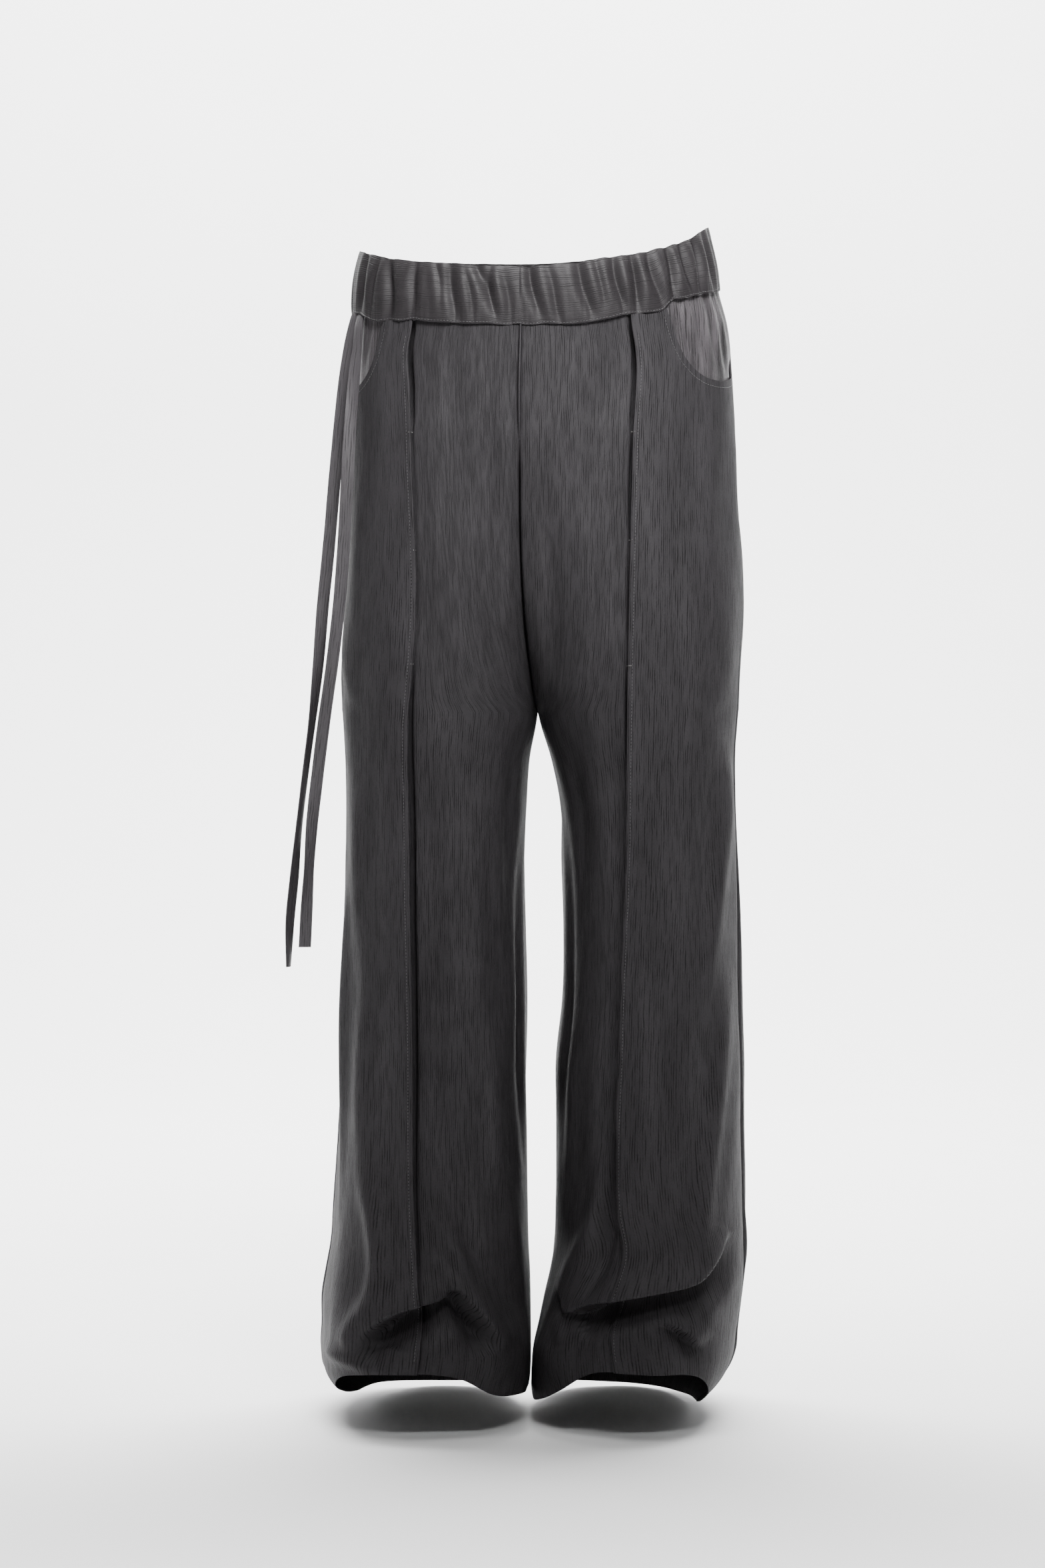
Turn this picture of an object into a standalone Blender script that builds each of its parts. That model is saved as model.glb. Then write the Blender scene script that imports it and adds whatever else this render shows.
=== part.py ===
"""Pleated wide-leg trousers, kept in the form they have when worn.

Every wall is a sheet of points on the garment's skin, given thickness along its normals.
Metres. The origin is the middle of the waist, +Z is up and the front faces -Y.
Left and right are the wearer's, so the right leg has the negative X.
"""

import math

import bpy
import numpy as np

# Cloth
WALL = 0.0012
BAND_WALL = 0.0028
SEAM_GAP = 0.0003
ROUND = 2.3

# Knife pleat
PLEAT_STEP = 0.0025
PLEAT_UNDERLAY = 0.019

# Pocket
FACING_DROP = 0.0020
FACING_BOTTOM = -0.125
FACING_JOINS_SEAM = -0.060

# Waistband
BAND_PROUD = 0.0006
GATHER_DEPTH = 0.0026
GATHER_WIDTH = 0.0052

# Ties
TIE_WIDTH = 0.0115
TIE_THICK = 0.0012

# Rows and columns of the walls
LEVEL_HEM_STARTS = -0.86
HEM_ROWS = 14
TOP_ROWS = (0.0, 0.12, 0.34, 0.65, 1.0)
TOP_ROWS_END = -0.125
MIDDLE_ROWS = (-0.165, -0.21, -0.255, -0.30, -0.335, -0.365, -0.385, -0.405, -0.43, -0.47,
               -0.52, -0.58, -0.64, -0.70, -0.76, -0.815, LEVEL_HEM_STARTS)
CENTRE_COLUMNS = (0.0, 0.08, 0.18, 0.32, 0.47, 0.62, 0.76, 0.88, 1.0)
SIDE_COLUMNS = (0.10, 0.19, 0.255, 0.275, 0.30, 0.34, 0.40, 0.50, 0.62, 0.75, 0.88, 1.0)
BACK_COLUMNS = 16
BAND_COLUMNS = 192
BAND_ROWS = (0.0, 0.33, 0.70, 1.0)

# The skin's sections: inner and outer edge across X, front and back face along Y.
LEG_COLUMNS = ("z", "inner", "outer", "front", "back")
RIGHT_LEG = (
    (0.075, 0.0, -0.1590, -0.1100, 0.1090),
    (0.032, 0.0, -0.1655, -0.1120, 0.1105),
    (0.000, 0.0, -0.1715, -0.1135, 0.1120),
    (-0.045, 0.0, -0.1728, -0.1150, 0.1150),
    (-0.107, 0.0, -0.1735, -0.1165, 0.1210),
    (-0.170, 0.0, -0.1745, -0.1175, 0.1255),
    (-0.233, 0.0, -0.1765, -0.1185, 0.1265),
    (-0.296, 0.0, -0.1796, -0.1190, 0.1230),
    (-0.359, 0.0, -0.1833, -0.1190, 0.1185),
    (-0.403, 0.0017, -0.1811, -0.1185, 0.1150),
    (-0.447, -0.0057, -0.1789, -0.1175, 0.1125),
    (-0.485, -0.0082, -0.1783, -0.1165, 0.1110),
    (-0.548, -0.0107, -0.1786, -0.1150, 0.1090),
    (-0.611, -0.0107, -0.1796, -0.1135, 0.1075),
    (-0.674, -0.0095, -0.1811, -0.1125, 0.1065),
    (-0.737, -0.0093, -0.1821, -0.1120, 0.1060),
    (-0.800, -0.0082, -0.1846, -0.1130, 0.1065),
    (-0.863, -0.0076, -0.1884, -0.1180, 0.1085),
    (-0.901, -0.0069, -0.1909, -0.1240, 0.1110),
    (-0.926, -0.0055, -0.1953, -0.1310, 0.1135),
    (-0.951, -0.0050, -0.1991, -0.1380, 0.1165),
    (-0.977, -0.0046, -0.1993, -0.1440, 0.1195),
    (-1.002, -0.0046, -0.2005, -0.1490, 0.1220),
    (-1.016, -0.0050, -0.2018, -0.1500, 0.1230),
    (-1.029, -0.0060, -0.1975, -0.1480, 0.1230),
    (-1.042, -0.0110, -0.1890, -0.1450, 0.1215),
    (-1.062, -0.0200, -0.1800, -0.1400, 0.1190),
)
LEFT_LEG = (
    (0.075, 0.0, 0.1600, -0.1100, 0.1090),
    (0.050, 0.0, 0.1645, -0.1110, 0.1095),
    (0.013, 0.0, 0.1720, -0.1130, 0.1115),
    (-0.006, 0.0, 0.1745, -0.1140, 0.1125),
    (-0.038, 0.0, 0.1808, -0.1150, 0.1145),
    (-0.082, 0.0, 0.1852, -0.1160, 0.1190),
    (-0.145, 0.0, 0.1884, -0.1170, 0.1240),
    (-0.195, 0.0, 0.1903, -0.1180, 0.1265),
    (-0.258, 0.0, 0.1953, -0.1185, 0.1260),
    (-0.309, 0.0, 0.1966, -0.1190, 0.1230),
    (-0.359, 0.0, 0.1940, -0.1190, 0.1185),
    (-0.403, 0.0033, 0.1915, -0.1185, 0.1150),
    (-0.447, 0.0158, 0.1884, -0.1175, 0.1125),
    (-0.485, 0.0235, 0.1884, -0.1165, 0.1110),
    (-0.548, 0.0268, 0.1896, -0.1150, 0.1090),
    (-0.611, 0.0277, 0.1915, -0.1135, 0.1075),
    (-0.674, 0.0265, 0.1925, -0.1125, 0.1065),
    (-0.737, 0.0205, 0.1947, -0.1120, 0.1060),
    (-0.800, 0.0202, 0.1950, -0.1130, 0.1065),
    (-0.863, 0.0200, 0.1959, -0.1180, 0.1085),
    (-0.901, 0.0190, 0.1966, -0.1240, 0.1110),
    (-0.926, 0.0150, 0.1950, -0.1310, 0.1135),
    (-0.951, 0.0095, 0.1935, -0.1380, 0.1165),
    (-0.977, 0.0050, 0.1903, -0.1440, 0.1195),
    (-1.002, 0.0005, 0.1865, -0.1490, 0.1220),
    (-1.016, -0.0012, 0.1805, -0.1500, 0.1230),
    (-1.029, -0.0012, 0.1755, -0.1480, 0.1230),
    (-1.042, 0.0000, 0.1690, -0.1450, 0.1215),
    (-1.062, 0.0088, 0.1610, -0.1400, 0.1190),
)

# Where the centre-front and centre-back seams run, down to the crotch.
SEAT_COLUMNS = ("z", "front_x", "front_y", "back_x", "back_y")
SEAT = (
    (0.075, -0.0140, -0.1100, 0.0140, 0.1090),
    (0.000, -0.0140, -0.1130, 0.0140, 0.1112),
    (-0.053, -0.0138, -0.1146, 0.0140, 0.1148),
    (-0.110, -0.0150, -0.1150, 0.0140, 0.1190),
    (-0.180, -0.0148, -0.1130, 0.0130, 0.1190),
    (-0.235, -0.0145, -0.1080, 0.0120, 0.1120),
    (-0.291, -0.0125, -0.0970, 0.0100, 0.0990),
    (-0.335, -0.0090, -0.0800, 0.0080, 0.0840),
    (-0.365, -0.0050, -0.0600, 0.0060, 0.0640),
    (-0.388, -0.0015, -0.0360, 0.0040, 0.0400),
    (-0.398, 0.0010, -0.0180, 0.0030, 0.0200),
    (-0.403, 0.0025, 0.0, 0.0025, 0.0),
)
CROTCH = -0.403

# Lengthwise lines of each leg: the pleat's edge across X, and the side seam along Y.
LINE_COLUMNS = ("z", "pleat_x", "seam_y")
RIGHT_LINES = (
    (0.00, -0.1136, 0.0120),
    (-0.053, -0.1136, 0.0120),
    (-0.070, -0.1168, 0.0120),
    (-0.110, -0.1158, 0.0120),
    (-0.150, -0.1142, 0.0110),
    (-0.360, -0.1118, 0.0040),
    (-0.400, -0.1158, 0.0),
    (-0.520, -0.1155, 0.0),
    (-0.700, -0.1125, 0.0),
    (-0.860, -0.1108, 0.0),
    (-0.915, -0.1070, 0.0),
    (-0.945, -0.1035, 0.0),
    (-1.060, -0.1155, 0.0),
)
LEFT_LINES = (
    (0.00, 0.0872, -0.0100),
    (-0.053, 0.0880, -0.0100),
    (-0.070, 0.0909, -0.0120),
    (-0.150, 0.0890, -0.0180),
    (-0.360, 0.0838, -0.0340),
    (-0.400, 0.0832, -0.0360),
    (-0.550, 0.0812, -0.0380),
    (-0.700, 0.0757, -0.0370),
    (-0.860, 0.0735, -0.0330),
    (-0.900, 0.0785, -0.0320),
    (-0.930, 0.0700, -0.0320),
    (-1.060, 0.0800, -0.0320),
)

# How far the pleat stands open, and how far the centre panel falls back beside it.
PLEAT_COLUMNS = ("z", "step", "fall")
PLEAT_OPENING = (
    (0.00, 0.0025, 0.0000),
    (-0.050, 0.0025, 0.0005),
    (-0.100, 0.0029, 0.0020),
    (-0.146, 0.0024, 0.0004),
    (-0.250, 0.0024, 0.0004),
    (-0.355, 0.0024, 0.0004),
    (-0.450, 0.0034, 0.0060),
    (-0.600, 0.0038, 0.0090),
    (-0.780, 0.0038, 0.0080),
    (-0.880, 0.0030, 0.0040),
    (-0.960, 0.0024, 0.0010),
    (-1.060, 0.0024, 0.0010),
)
FALL_WIDTH = 0.030

# The waistband's edges round the waist: 0 is the centre front, 1 the side, 2 the centre back.
BAND_COLUMNS_READ = ("round", "right_top", "right_bottom", "left_top", "left_bottom")
BAND_EDGES = (
    (0.00, 0.0000, -0.0525, 0.0000, -0.0525),
    (0.20, 0.0035, -0.0525, 0.0040, -0.0520),
    (0.45, 0.0110, -0.0520, 0.0130, -0.0470),
    (0.70, 0.0230, -0.0440, 0.0280, -0.0330),
    (0.85, 0.0300, -0.0330, 0.0430, -0.0170),
    (1.00, 0.0350, -0.0240, 0.0540, -0.0050),
    (1.30, 0.0380, -0.0180, 0.0520, -0.0060),
    (2.00, 0.0400, -0.0150, 0.0400, -0.0150),
)

# Gathers in the waistband: place round the waist at mid height, lean, depth share.
GATHER_COLUMNS = ("round", "lean", "share")
RIGHT_GATHERS = (
    (0.12, 0.10, 0.8), (0.26, 0.16, 1.0), (0.42, 0.10, 0.7), (0.53, 0.06, 0.9),
    (0.65, 0.08, 1.0), (0.78, 0.05, 0.8), (0.92, 0.03, 1.0), (1.06, 0.02, 0.9),
    (1.18, -0.03, 1.0), (1.29, 0.04, 0.8), (1.42, 0.02, 1.0), (1.53, -0.04, 0.9),
    (1.66, 0.03, 1.0), (1.79, 0.05, 0.8), (1.93, -0.02, 1.0),
)
LEFT_GATHERS = (
    (0.04, -0.06, 0.7), (0.20, -0.10, 0.9), (0.33, -0.10, 0.8), (0.45, -0.08, 1.0),
    (0.56, -0.05, 0.8), (0.64, -0.05, 0.9), (0.73, -0.04, 1.0), (0.82, -0.04, 0.9),
    (0.94, -0.03, 1.0), (1.09, 0.03, 0.9), (1.21, -0.02, 1.0), (1.36, 0.04, 0.8),
    (1.47, -0.03, 1.0), (1.61, 0.02, 0.9), (1.72, -0.04, 1.0), (1.86, 0.03, 0.8),
)

# The pocket's scoop: share of the way from the pleat to the side seam, and height.
SCOOP_COLUMNS = ("share", "right_z", "left_z")
SCOOP = (
    (0.262, -0.0500, -0.0405),
    (0.275, -0.0640, -0.0500),
    (0.300, -0.0760, -0.0640),
    (0.340, -0.0850, -0.0765),
    (0.400, -0.0930, -0.0860),
    (0.500, -0.1000, -0.0940),
    (0.620, -0.1030, -0.0965),
    (0.750, -0.1030, -0.0955),
    (0.880, -0.1010, -0.0915),
    (1.000, -0.0980, -0.0860),
)

# The hem's height round the leg: 0 is the inseam, 1 the side seam, 2 the inseam again.
HEM_COLUMNS = ("round", "right_z", "left_z")
HEM = (
    (0.00, -1.0340, -1.0360),
    (0.18, -1.0310, -1.0390),
    (0.32, -1.0240, -1.0220),
    (0.42, -1.0060, -1.0040),
    (0.60, -1.0020, -1.0010),
    (0.74, -1.0080, -1.0060),
    (0.85, -1.0260, -1.0280),
    (1.00, -1.0400, -1.0460),
    (1.25, -1.0500, -1.0560),
    (1.50, -1.0560, -1.0580),
    (1.75, -1.0500, -1.0500),
    (2.00, -1.0340, -1.0360),
)

# The largest folds. Each runs from one point past a middle one to the last, as seen square on to
# its face: across is X on the front and back, Y on the outer and inner sides.
# Depth is outward, so a trough is negative, and droop is how far the cloth hangs down over it.
FOLD_COLUMNS = ("face", "from_across", "from_z", "mid_across", "mid_z", "to_across", "to_z",
                "width", "depth", "droop")
RIGHT_FOLDS = (
    ("front", -0.0560, -0.060, -0.0480, -0.220, -0.0480, -0.400, 0.0140, -0.0030, 0.0),
    ("front", -0.1620, -0.988, -0.1180, -0.936, -0.0780, -0.930, 0.0090, -0.0135, -0.0060),
    ("front", -0.0780, -0.930, -0.0560, -0.942, -0.0380, -0.990, 0.0090, -0.0135, -0.0060),
    ("front", -0.1560, -0.950, -0.1080, -0.910, -0.0720, -0.900, 0.0130, 0.0095, -0.0070),
    ("front", -0.0760, -0.890, -0.0560, -0.925, -0.0380, -0.962, 0.0100, 0.0080, -0.0030),
    ("front", -0.0900, -0.760, -0.0730, -0.840, -0.0260, -0.960, 0.0110, -0.0060, 0.0),
    ("front", -0.1600, -0.640, -0.1580, -0.800, -0.1470, -0.925, 0.0100, 0.0045, 0.0),
    ("outer", -0.0500, -0.985, 0.0100, -0.930, 0.0700, -0.960, 0.0120, -0.0060, -0.0020),
    ("back", -0.1500, -0.955, -0.0960, -0.905, -0.0400, -0.960, 0.0130, -0.0090, -0.0030),
    ("back", -0.1550, -0.930, -0.0960, -0.870, -0.0350, -0.930, 0.0140, 0.0070, -0.0030),
    ("back", -0.1000, -0.100, -0.0950, -0.300, -0.0900, -0.520, 0.0150, -0.0040, 0.0),
    ("back", -0.0500, -0.250, -0.1000, -0.390, -0.1450, -0.470, 0.0140, -0.0050, 0.0),
)
LEFT_FOLDS = (
    ("front", 0.0240, -0.060, 0.0300, -0.220, 0.0300, -0.400, 0.0140, -0.0030, 0.0),
    ("front", 0.0300, -0.985, 0.0500, -0.944, 0.0900, -0.936, 0.0090, -0.0135, -0.0060),
    ("front", 0.0900, -0.936, 0.1350, -0.925, 0.1750, -0.890, 0.0090, -0.0120, -0.0060),
    ("front", 0.0400, -0.925, 0.0800, -0.908, 0.1400, -0.890, 0.0130, 0.0095, -0.0070),
    ("front", 0.0620, -0.830, 0.0340, -0.900, 0.0040, -0.970, 0.0110, 0.0060, 0.0),
    ("front", 0.0720, -0.800, 0.0640, -0.870, 0.0330, -0.950, 0.0090, -0.0080, 0.0),
    ("front", 0.1200, -0.974, 0.1320, -0.980, 0.1500, -0.988, 0.0080, -0.0060, 0.0),
    ("front", 0.1770, -0.470, 0.1670, -0.570, 0.1540, -0.680, 0.0100, 0.0050, 0.0),
    ("front", 0.1750, -0.680, 0.1540, -0.800, 0.1440, -0.900, 0.0110, 0.0055, 0.0),
    ("outer", -0.0700, -0.900, 0.0000, -0.960, 0.0700, -0.940, 0.0120, -0.0060, -0.0020),
    ("back", 0.0500, -0.950, 0.1080, -0.900, 0.1650, -0.950, 0.0130, -0.0090, -0.0030),
    ("back", 0.0450, -0.920, 0.1080, -0.865, 0.1700, -0.925, 0.0140, 0.0070, -0.0030),
    ("back", 0.1050, -0.100, 0.1050, -0.300, 0.1050, -0.520, 0.0150, -0.0040, 0.0),
    ("back", 0.0500, -0.250, 0.1100, -0.390, 0.1550, -0.470, 0.0140, -0.0050, 0.0),
)

# Flat ties, down from the waistband: the middle of the strip and how far it is turned.
TIE_COLUMNS = ("z", "x", "y", "turn")
TIE_OUTER = (
    (-0.0337, -0.1752, -0.0200, -76.0),
    (-0.0540, -0.1775, -0.0270, -60.0),
    (-0.0970, -0.1812, -0.0330, -28.0),
    (-0.1470, -0.1845, -0.0360, -12.0),
    (-0.1970, -0.1895, -0.0360, 0.0),
    (-0.2597, -0.1948, -0.0350, 8.0),
    (-0.3097, -0.1995, -0.0330, 16.0),
    (-0.3598, -0.2036, -0.0310, 40.0),
    (-0.4099, -0.2089, -0.0290, 66.0),
    (-0.4600, -0.2158, -0.0270, 72.0),
    (-0.5226, -0.2230, -0.0250, 68.0),
    (-0.5601, -0.2264, -0.0240, 55.0),
    (-0.5977, -0.2300, -0.0230, 56.0),
    (-0.6415, -0.2317, -0.0220, 80.0),
)
TIE_INNER = (
    (-0.0416, -0.1695, -0.0440, -62.0),
    (-0.0600, -0.1695, -0.0530, -44.0),
    (-0.0970, -0.1705, -0.0590, -20.0),
    (-0.1470, -0.1742, -0.0590, -8.0),
    (-0.2120, -0.1775, -0.0580, 4.0),
    (-0.2597, -0.1832, -0.0570, 10.0),
    (-0.3097, -0.1868, -0.0560, 4.0),
    (-0.3598, -0.1908, -0.0540, 0.0),
    (-0.4099, -0.1976, -0.0520, 0.0),
    (-0.4600, -0.2046, -0.0500, 6.0),
    (-0.5100, -0.2118, -0.0480, 40.0),
    (-0.5476, -0.2150, -0.0460, 60.0),
    (-0.5852, -0.2171, -0.0450, 28.0),
    (-0.6220, -0.2185, -0.0440, 4.0),
)

FINISHES = {
    "crepe": ((0.035, 0.035, 0.038), 0.72),
    "band": ((0.045, 0.045, 0.049), 0.62),
    "facing": ((0.085, 0.083, 0.086), 0.45),
    "tie": ((0.040, 0.040, 0.043), 0.60),
}


def read(table, names, name, places):
    """A named column of a table, as a smooth curve through its rows."""
    rows = np.array(table, float)
    rows = rows[np.argsort(rows[:, 0])]
    known, values = rows[:, 0], rows[:, names.index(name)]
    slopes = np.gradient(values, known)
    places = np.clip(places, known[0], known[-1])
    i = np.clip(np.searchsorted(known, places) - 1, 0, len(known) - 2)
    step = known[i + 1] - known[i]
    u = (places - known[i]) / step
    return ((2 * u**3 - 3 * u**2 + 1) * values[i] + (u**3 - 2 * u**2 + u) * step * slopes[i]
            + (3 * u**2 - 2 * u**3) * values[i + 1] + (u**3 - u**2) * step * slopes[i + 1])


def smooth(low, high, value):
    u = np.clip((value - low) / (high - low), 0, 1)
    return u * u * (3 - 2 * u)


def half_section(start_x, start_y, outer, depth, samples):
    """The points of one level from a centre seam or inseam round to the side."""
    share = (1 - min(1.0, abs(start_y) / depth) ** ROUND) ** (1 / ROUND)
    middle = (start_x + share * outer) / (1 + share)
    begin = math.pi - math.acos(share ** (ROUND / 2))
    turn = np.linspace(begin, 0, samples)
    across = np.sign(np.cos(turn)) * np.abs(np.cos(turn)) ** (2 / ROUND)
    return middle + (outer - middle) * across, depth * np.abs(np.sin(turn)) ** (2 / ROUND)


def make_skin(leg, lines, side):
    """The skin of one leg by height and way round, with where its pleat runs."""
    heights = np.arange(0.074, -1.0621, -0.004)
    round_places = np.linspace(0, 2, 241)
    points, lengths, pleat = [], [], []
    for z in heights:
        outer = float(read(leg, LEG_COLUMNS, "outer", z))
        front = -float(read(leg, LEG_COLUMNS, "front", z))
        back = float(read(leg, LEG_COLUMNS, "back", z))
        if z > CROTCH:
            fx, fy, bx, by = (float(read(SEAT, SEAT_COLUMNS, n, z)) for n in SEAT_COLUMNS[1:])
            part = SEAM_GAP / 2 + 0.0007 * math.sqrt(max(0.0, 1 - (fy / front) ** 2))
            part_back = SEAM_GAP / 2 + 0.0007 * math.sqrt(max(0.0, 1 - (by / back) ** 2))
        else:
            fx = bx = float(read(leg, LEG_COLUMNS, "inner", z))
            fy = by = part = part_back = 0.0
        xf, yf = half_section(fx + side * part, fy, outer, front, 300)
        xb, yb = half_section(bx + side * part_back, by, outer, back, 300)
        x = np.concatenate([xf, xb[::-1][1:]])
        y = np.concatenate([-yf, yb[::-1][1:]])
        along = np.concatenate([[0], np.cumsum(np.hypot(np.diff(x), np.diff(y)))])
        first, last = int(np.argmin(y)), int(np.argmax(y))
        seam_y = float(read(lines, LINE_COLUMNS, "seam_y", z))
        seam = float(np.interp(seam_y, y[first:last], along[first:last]))
        pleat_x = float(read(lines, LINE_COLUMNS, "pleat_x", z))
        pleat.append(float(np.interp(side * pleat_x, side * x[:300], along[:300])) / seam)
        wanted = np.where(round_places <= 1, round_places * seam,
                          seam + (round_places - 1) * (along[-1] - seam))
        points.append(np.stack([np.interp(wanted, along, x), np.interp(wanted, along, y)], 1))
        lengths.append((seam, along[-1] - seam))
    return {"side": side, "heights": heights, "points": np.array(points),
            "lengths": np.array(lengths), "pleat": np.array(pleat)}


def between(skin, values, z):
    """Rows of a skin's values at any height."""
    place = np.clip((skin["heights"][0] - z) / 0.004, 0, len(skin["heights"]) - 1.001)
    row = place.astype(int)
    share = (place - row).reshape(place.shape + (1,) * (values.ndim - 1))
    return values[row] * (1 - share) + values[row + 1] * share


def on_skin(skin, places, z):
    """Points at ways round and heights, and the outward direction there."""
    z = np.broadcast_to(z, places.shape)
    column = np.clip(places / 2 * 240, 0, 239.999)
    first = column.astype(int)
    share = (column - first)[..., None]
    line = between(skin, skin["points"], z)
    low = np.take_along_axis(line, first[..., None, None], -2)[..., 0, :]
    high = np.take_along_axis(line, first[..., None, None] + 1, -2)[..., 0, :]
    point = low * (1 - share) + high * share
    before = np.take_along_axis(line, np.maximum(first - 2, 0)[..., None, None], -2)[..., 0, :]
    after = np.take_along_axis(line, np.minimum(first + 3, 240)[..., None, None], -2)[..., 0, :]
    way = after - before
    way = way / np.maximum(np.linalg.norm(way, axis=-1, keepdims=True), 1e-9)
    out = np.stack([-way[..., 1], way[..., 0]], -1) * -skin["side"]
    return np.concatenate([point, z[..., None]], -1), out


def fold_moves(folds, point, out):
    """How far folds push points outward and down."""
    push, drop = np.zeros(point.shape[:-1]), np.zeros(point.shape[:-1])
    outer_way = np.sign(point[..., 0].mean())
    facing = {"front": -out[..., 1], "back": out[..., 1], "outer": out[..., 0] * outer_way,
              "inner": -out[..., 0] * outer_way}
    t = np.linspace(0, 1, 21)
    for face, ax, az, mx, mz, bx, bz, width, depth, droop in folds:
        across = point[..., 0] if face in ("front", "back") else point[..., 1]
        via = (2 * mx - (ax + bx) / 2, 2 * mz - (az + bz) / 2)
        lx = (1 - t) ** 2 * ax + 2 * t * (1 - t) * via[0] + t**2 * bx
        lz = (1 - t) ** 2 * az + 2 * t * (1 - t) * via[1] + t**2 * bz
        far = np.hypot(across[..., None] - lx, point[..., 2, None] - lz)
        near = far.argmin(-1)
        ends = np.clip(np.minimum(near, 20 - near) / 5.0 + 0.25, 0, 1)
        shape = np.exp(-((far.min(-1) / width) ** 2)) * ends * smooth(0.05, 0.45, facing[face])
        push += depth * shape
        drop += droop * shape
    return push, drop


def lay(skin, folds, places, z, level):
    """Points of a sheet on the skin, level metres out from it, with the folds in them."""
    point, out = on_skin(skin, places, z)
    push, drop = fold_moves(folds, point, out)
    point[..., :2] += out * (level + push)[..., None]
    point[..., 2] += drop
    return point


def below_band(places, side_name):
    """Heights under the waistband whose straight edges in between stay clear of it too."""
    def edge(way):
        return read(BAND_EDGES, BAND_COLUMNS_READ, side_name + "_bottom", way) - SEAM_GAP
    tops = edge(places)
    lower = np.zeros(len(places))
    for k in range(len(places) - 1):
        chord = np.linspace(tops[k], tops[k + 1], 9)
        over = float((chord - edge(np.linspace(places[k], places[k + 1], 9))).max())
        lower[k] = max(lower[k], over)
        lower[k + 1] = max(lower[k + 1], over)
    return tops - lower


def panel_rows(tops, hems):
    """Heights of a leg panel's rows in each column, level but for the top and the hem."""
    rows = [tops + (TOP_ROWS_END - tops) * f for f in TOP_ROWS]
    rows += [np.full(len(tops), z) for z in MIDDLE_ROWS]
    for k in range(1, HEM_ROWS + 1):
        rows.append(LEVEL_HEM_STARTS + (hems - LEVEL_HEM_STARTS) * k / HEM_ROWS)
    return np.array(rows)


def front_places(skin, columns, z):
    """Ways round, heights and levels of a front panel's columns at these heights."""
    pleat = between(skin, skin["pleat"], z)
    long = between(skin, skin["lengths"], z)[..., 0]
    step = read(PLEAT_OPENING, PLEAT_COLUMNS, "step", z)
    fall = read(PLEAT_OPENING, PLEAT_COLUMNS, "fall", z)
    places, levels = np.zeros(z.shape), np.zeros(z.shape)
    trim = SEAM_GAP / 2 / long
    for i, (part, share, reach, below) in enumerate(columns):
        if part == "centre":
            places[:, i] = pleat[:, i] * share
            beside = np.exp(-(((1 - share) * pleat[:, i] * long[:, i] / FALL_WIDTH) ** 2))
            under = smooth(0.0, 0.75, share)
            levels[:, i] = -(2 * step[:, i] * under + fall[:, i] * beside)
        elif part == "edge":
            places[:, i] = pleat[:, i] + reach / long[:, i]
            levels[:, i] = -(step[:, i] * below + (fall[:, i] if below == 2.0 else 0.0))
        else:
            places[:, i] = pleat[:, i] + (1 - trim[:, i] - pleat[:, i]) * share
    below_crotch = z[:, 0] < CROTCH
    places[below_crotch, 0] = trim[below_crotch, 0]
    return places, z, levels


def front_panel(skin, folds, side_name):
    """A front leg panel: centre part, the knife pleat's three layers and the side part."""
    half = 0.5 * PLEAT_STEP
    # Each column: share of the centre part or the side part, metres from the pleat's edge,
    # and how many steps of the pleat it lies below the side part.
    columns = [("centre", f, 0.0, 2.0) for f in CENTRE_COLUMNS]
    columns += [("edge", 0.0, PLEAT_UNDERLAY * 0.5, 2.0), ("edge", 0.0, PLEAT_UNDERLAY, 2.0),
                ("edge", 0.0, PLEAT_UNDERLAY + half * 0.87, 1.75),
                ("edge", 0.0, PLEAT_UNDERLAY + half * 0.87, 1.25),
                ("edge", 0.0, PLEAT_UNDERLAY, 1.0), ("edge", 0.0, PLEAT_UNDERLAY * 0.5, 1.0),
                ("edge", 0.0, half, 1.0), ("edge", 0.0, half * 0.13, 0.75),
                ("edge", 0.0, half * 0.13, 0.25), ("edge", 0.0, half, 0.0)]
    columns += [("side", f, 0.0, 0.0) for f in SIDE_COLUMNS]
    edge_level, hem_level = (np.full((1, len(columns)), v) for v in (-0.045, -1.02))
    seam_top = below_band(front_places(skin, columns, edge_level)[0][0], side_name)
    for i, (part, share, _, _) in enumerate(columns):
        if part == "side" and share > SCOOP[0][0] - 0.01:
            scoop = read(SCOOP, SCOOP_COLUMNS, side_name + "_z", share)
            seam_top[i] = min(seam_top[i], scoop)
    hem_ways = front_places(skin, columns, hem_level)[0][0]
    hems = read(HEM, HEM_COLUMNS, side_name + "_z", hem_ways)
    z = panel_rows(seam_top, hems)
    return lay(skin, folds, *front_places(skin, columns, z))


def back_panel(skin, folds, side_name):
    places = 1 + np.linspace(0, 1, BACK_COLUMNS)
    tops = below_band(places, side_name)
    hems = read(HEM, HEM_COLUMNS, side_name + "_z", places)
    z = panel_rows(tops, hems)
    places = np.repeat(places[None], len(z), 0)
    trim = SEAM_GAP / 2 / between(skin, skin["lengths"], z)[..., 1]
    places[:, 0] += trim[:, 0]
    below_crotch = z[:, -1] < CROTCH
    places[below_crotch, -1] -= trim[below_crotch, -1]
    return lay(skin, folds, places, z, np.zeros(z.shape))


def facing_places(skin, shares, z):
    pleat = between(skin, skin["pleat"], z)
    long = between(skin, skin["lengths"], z)[..., 0]
    begin = pleat + (PLEAT_UNDERLAY + 0.0035) / long
    return begin + (1 - SEAM_GAP / 2 / long - begin) * shares[None]


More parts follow.
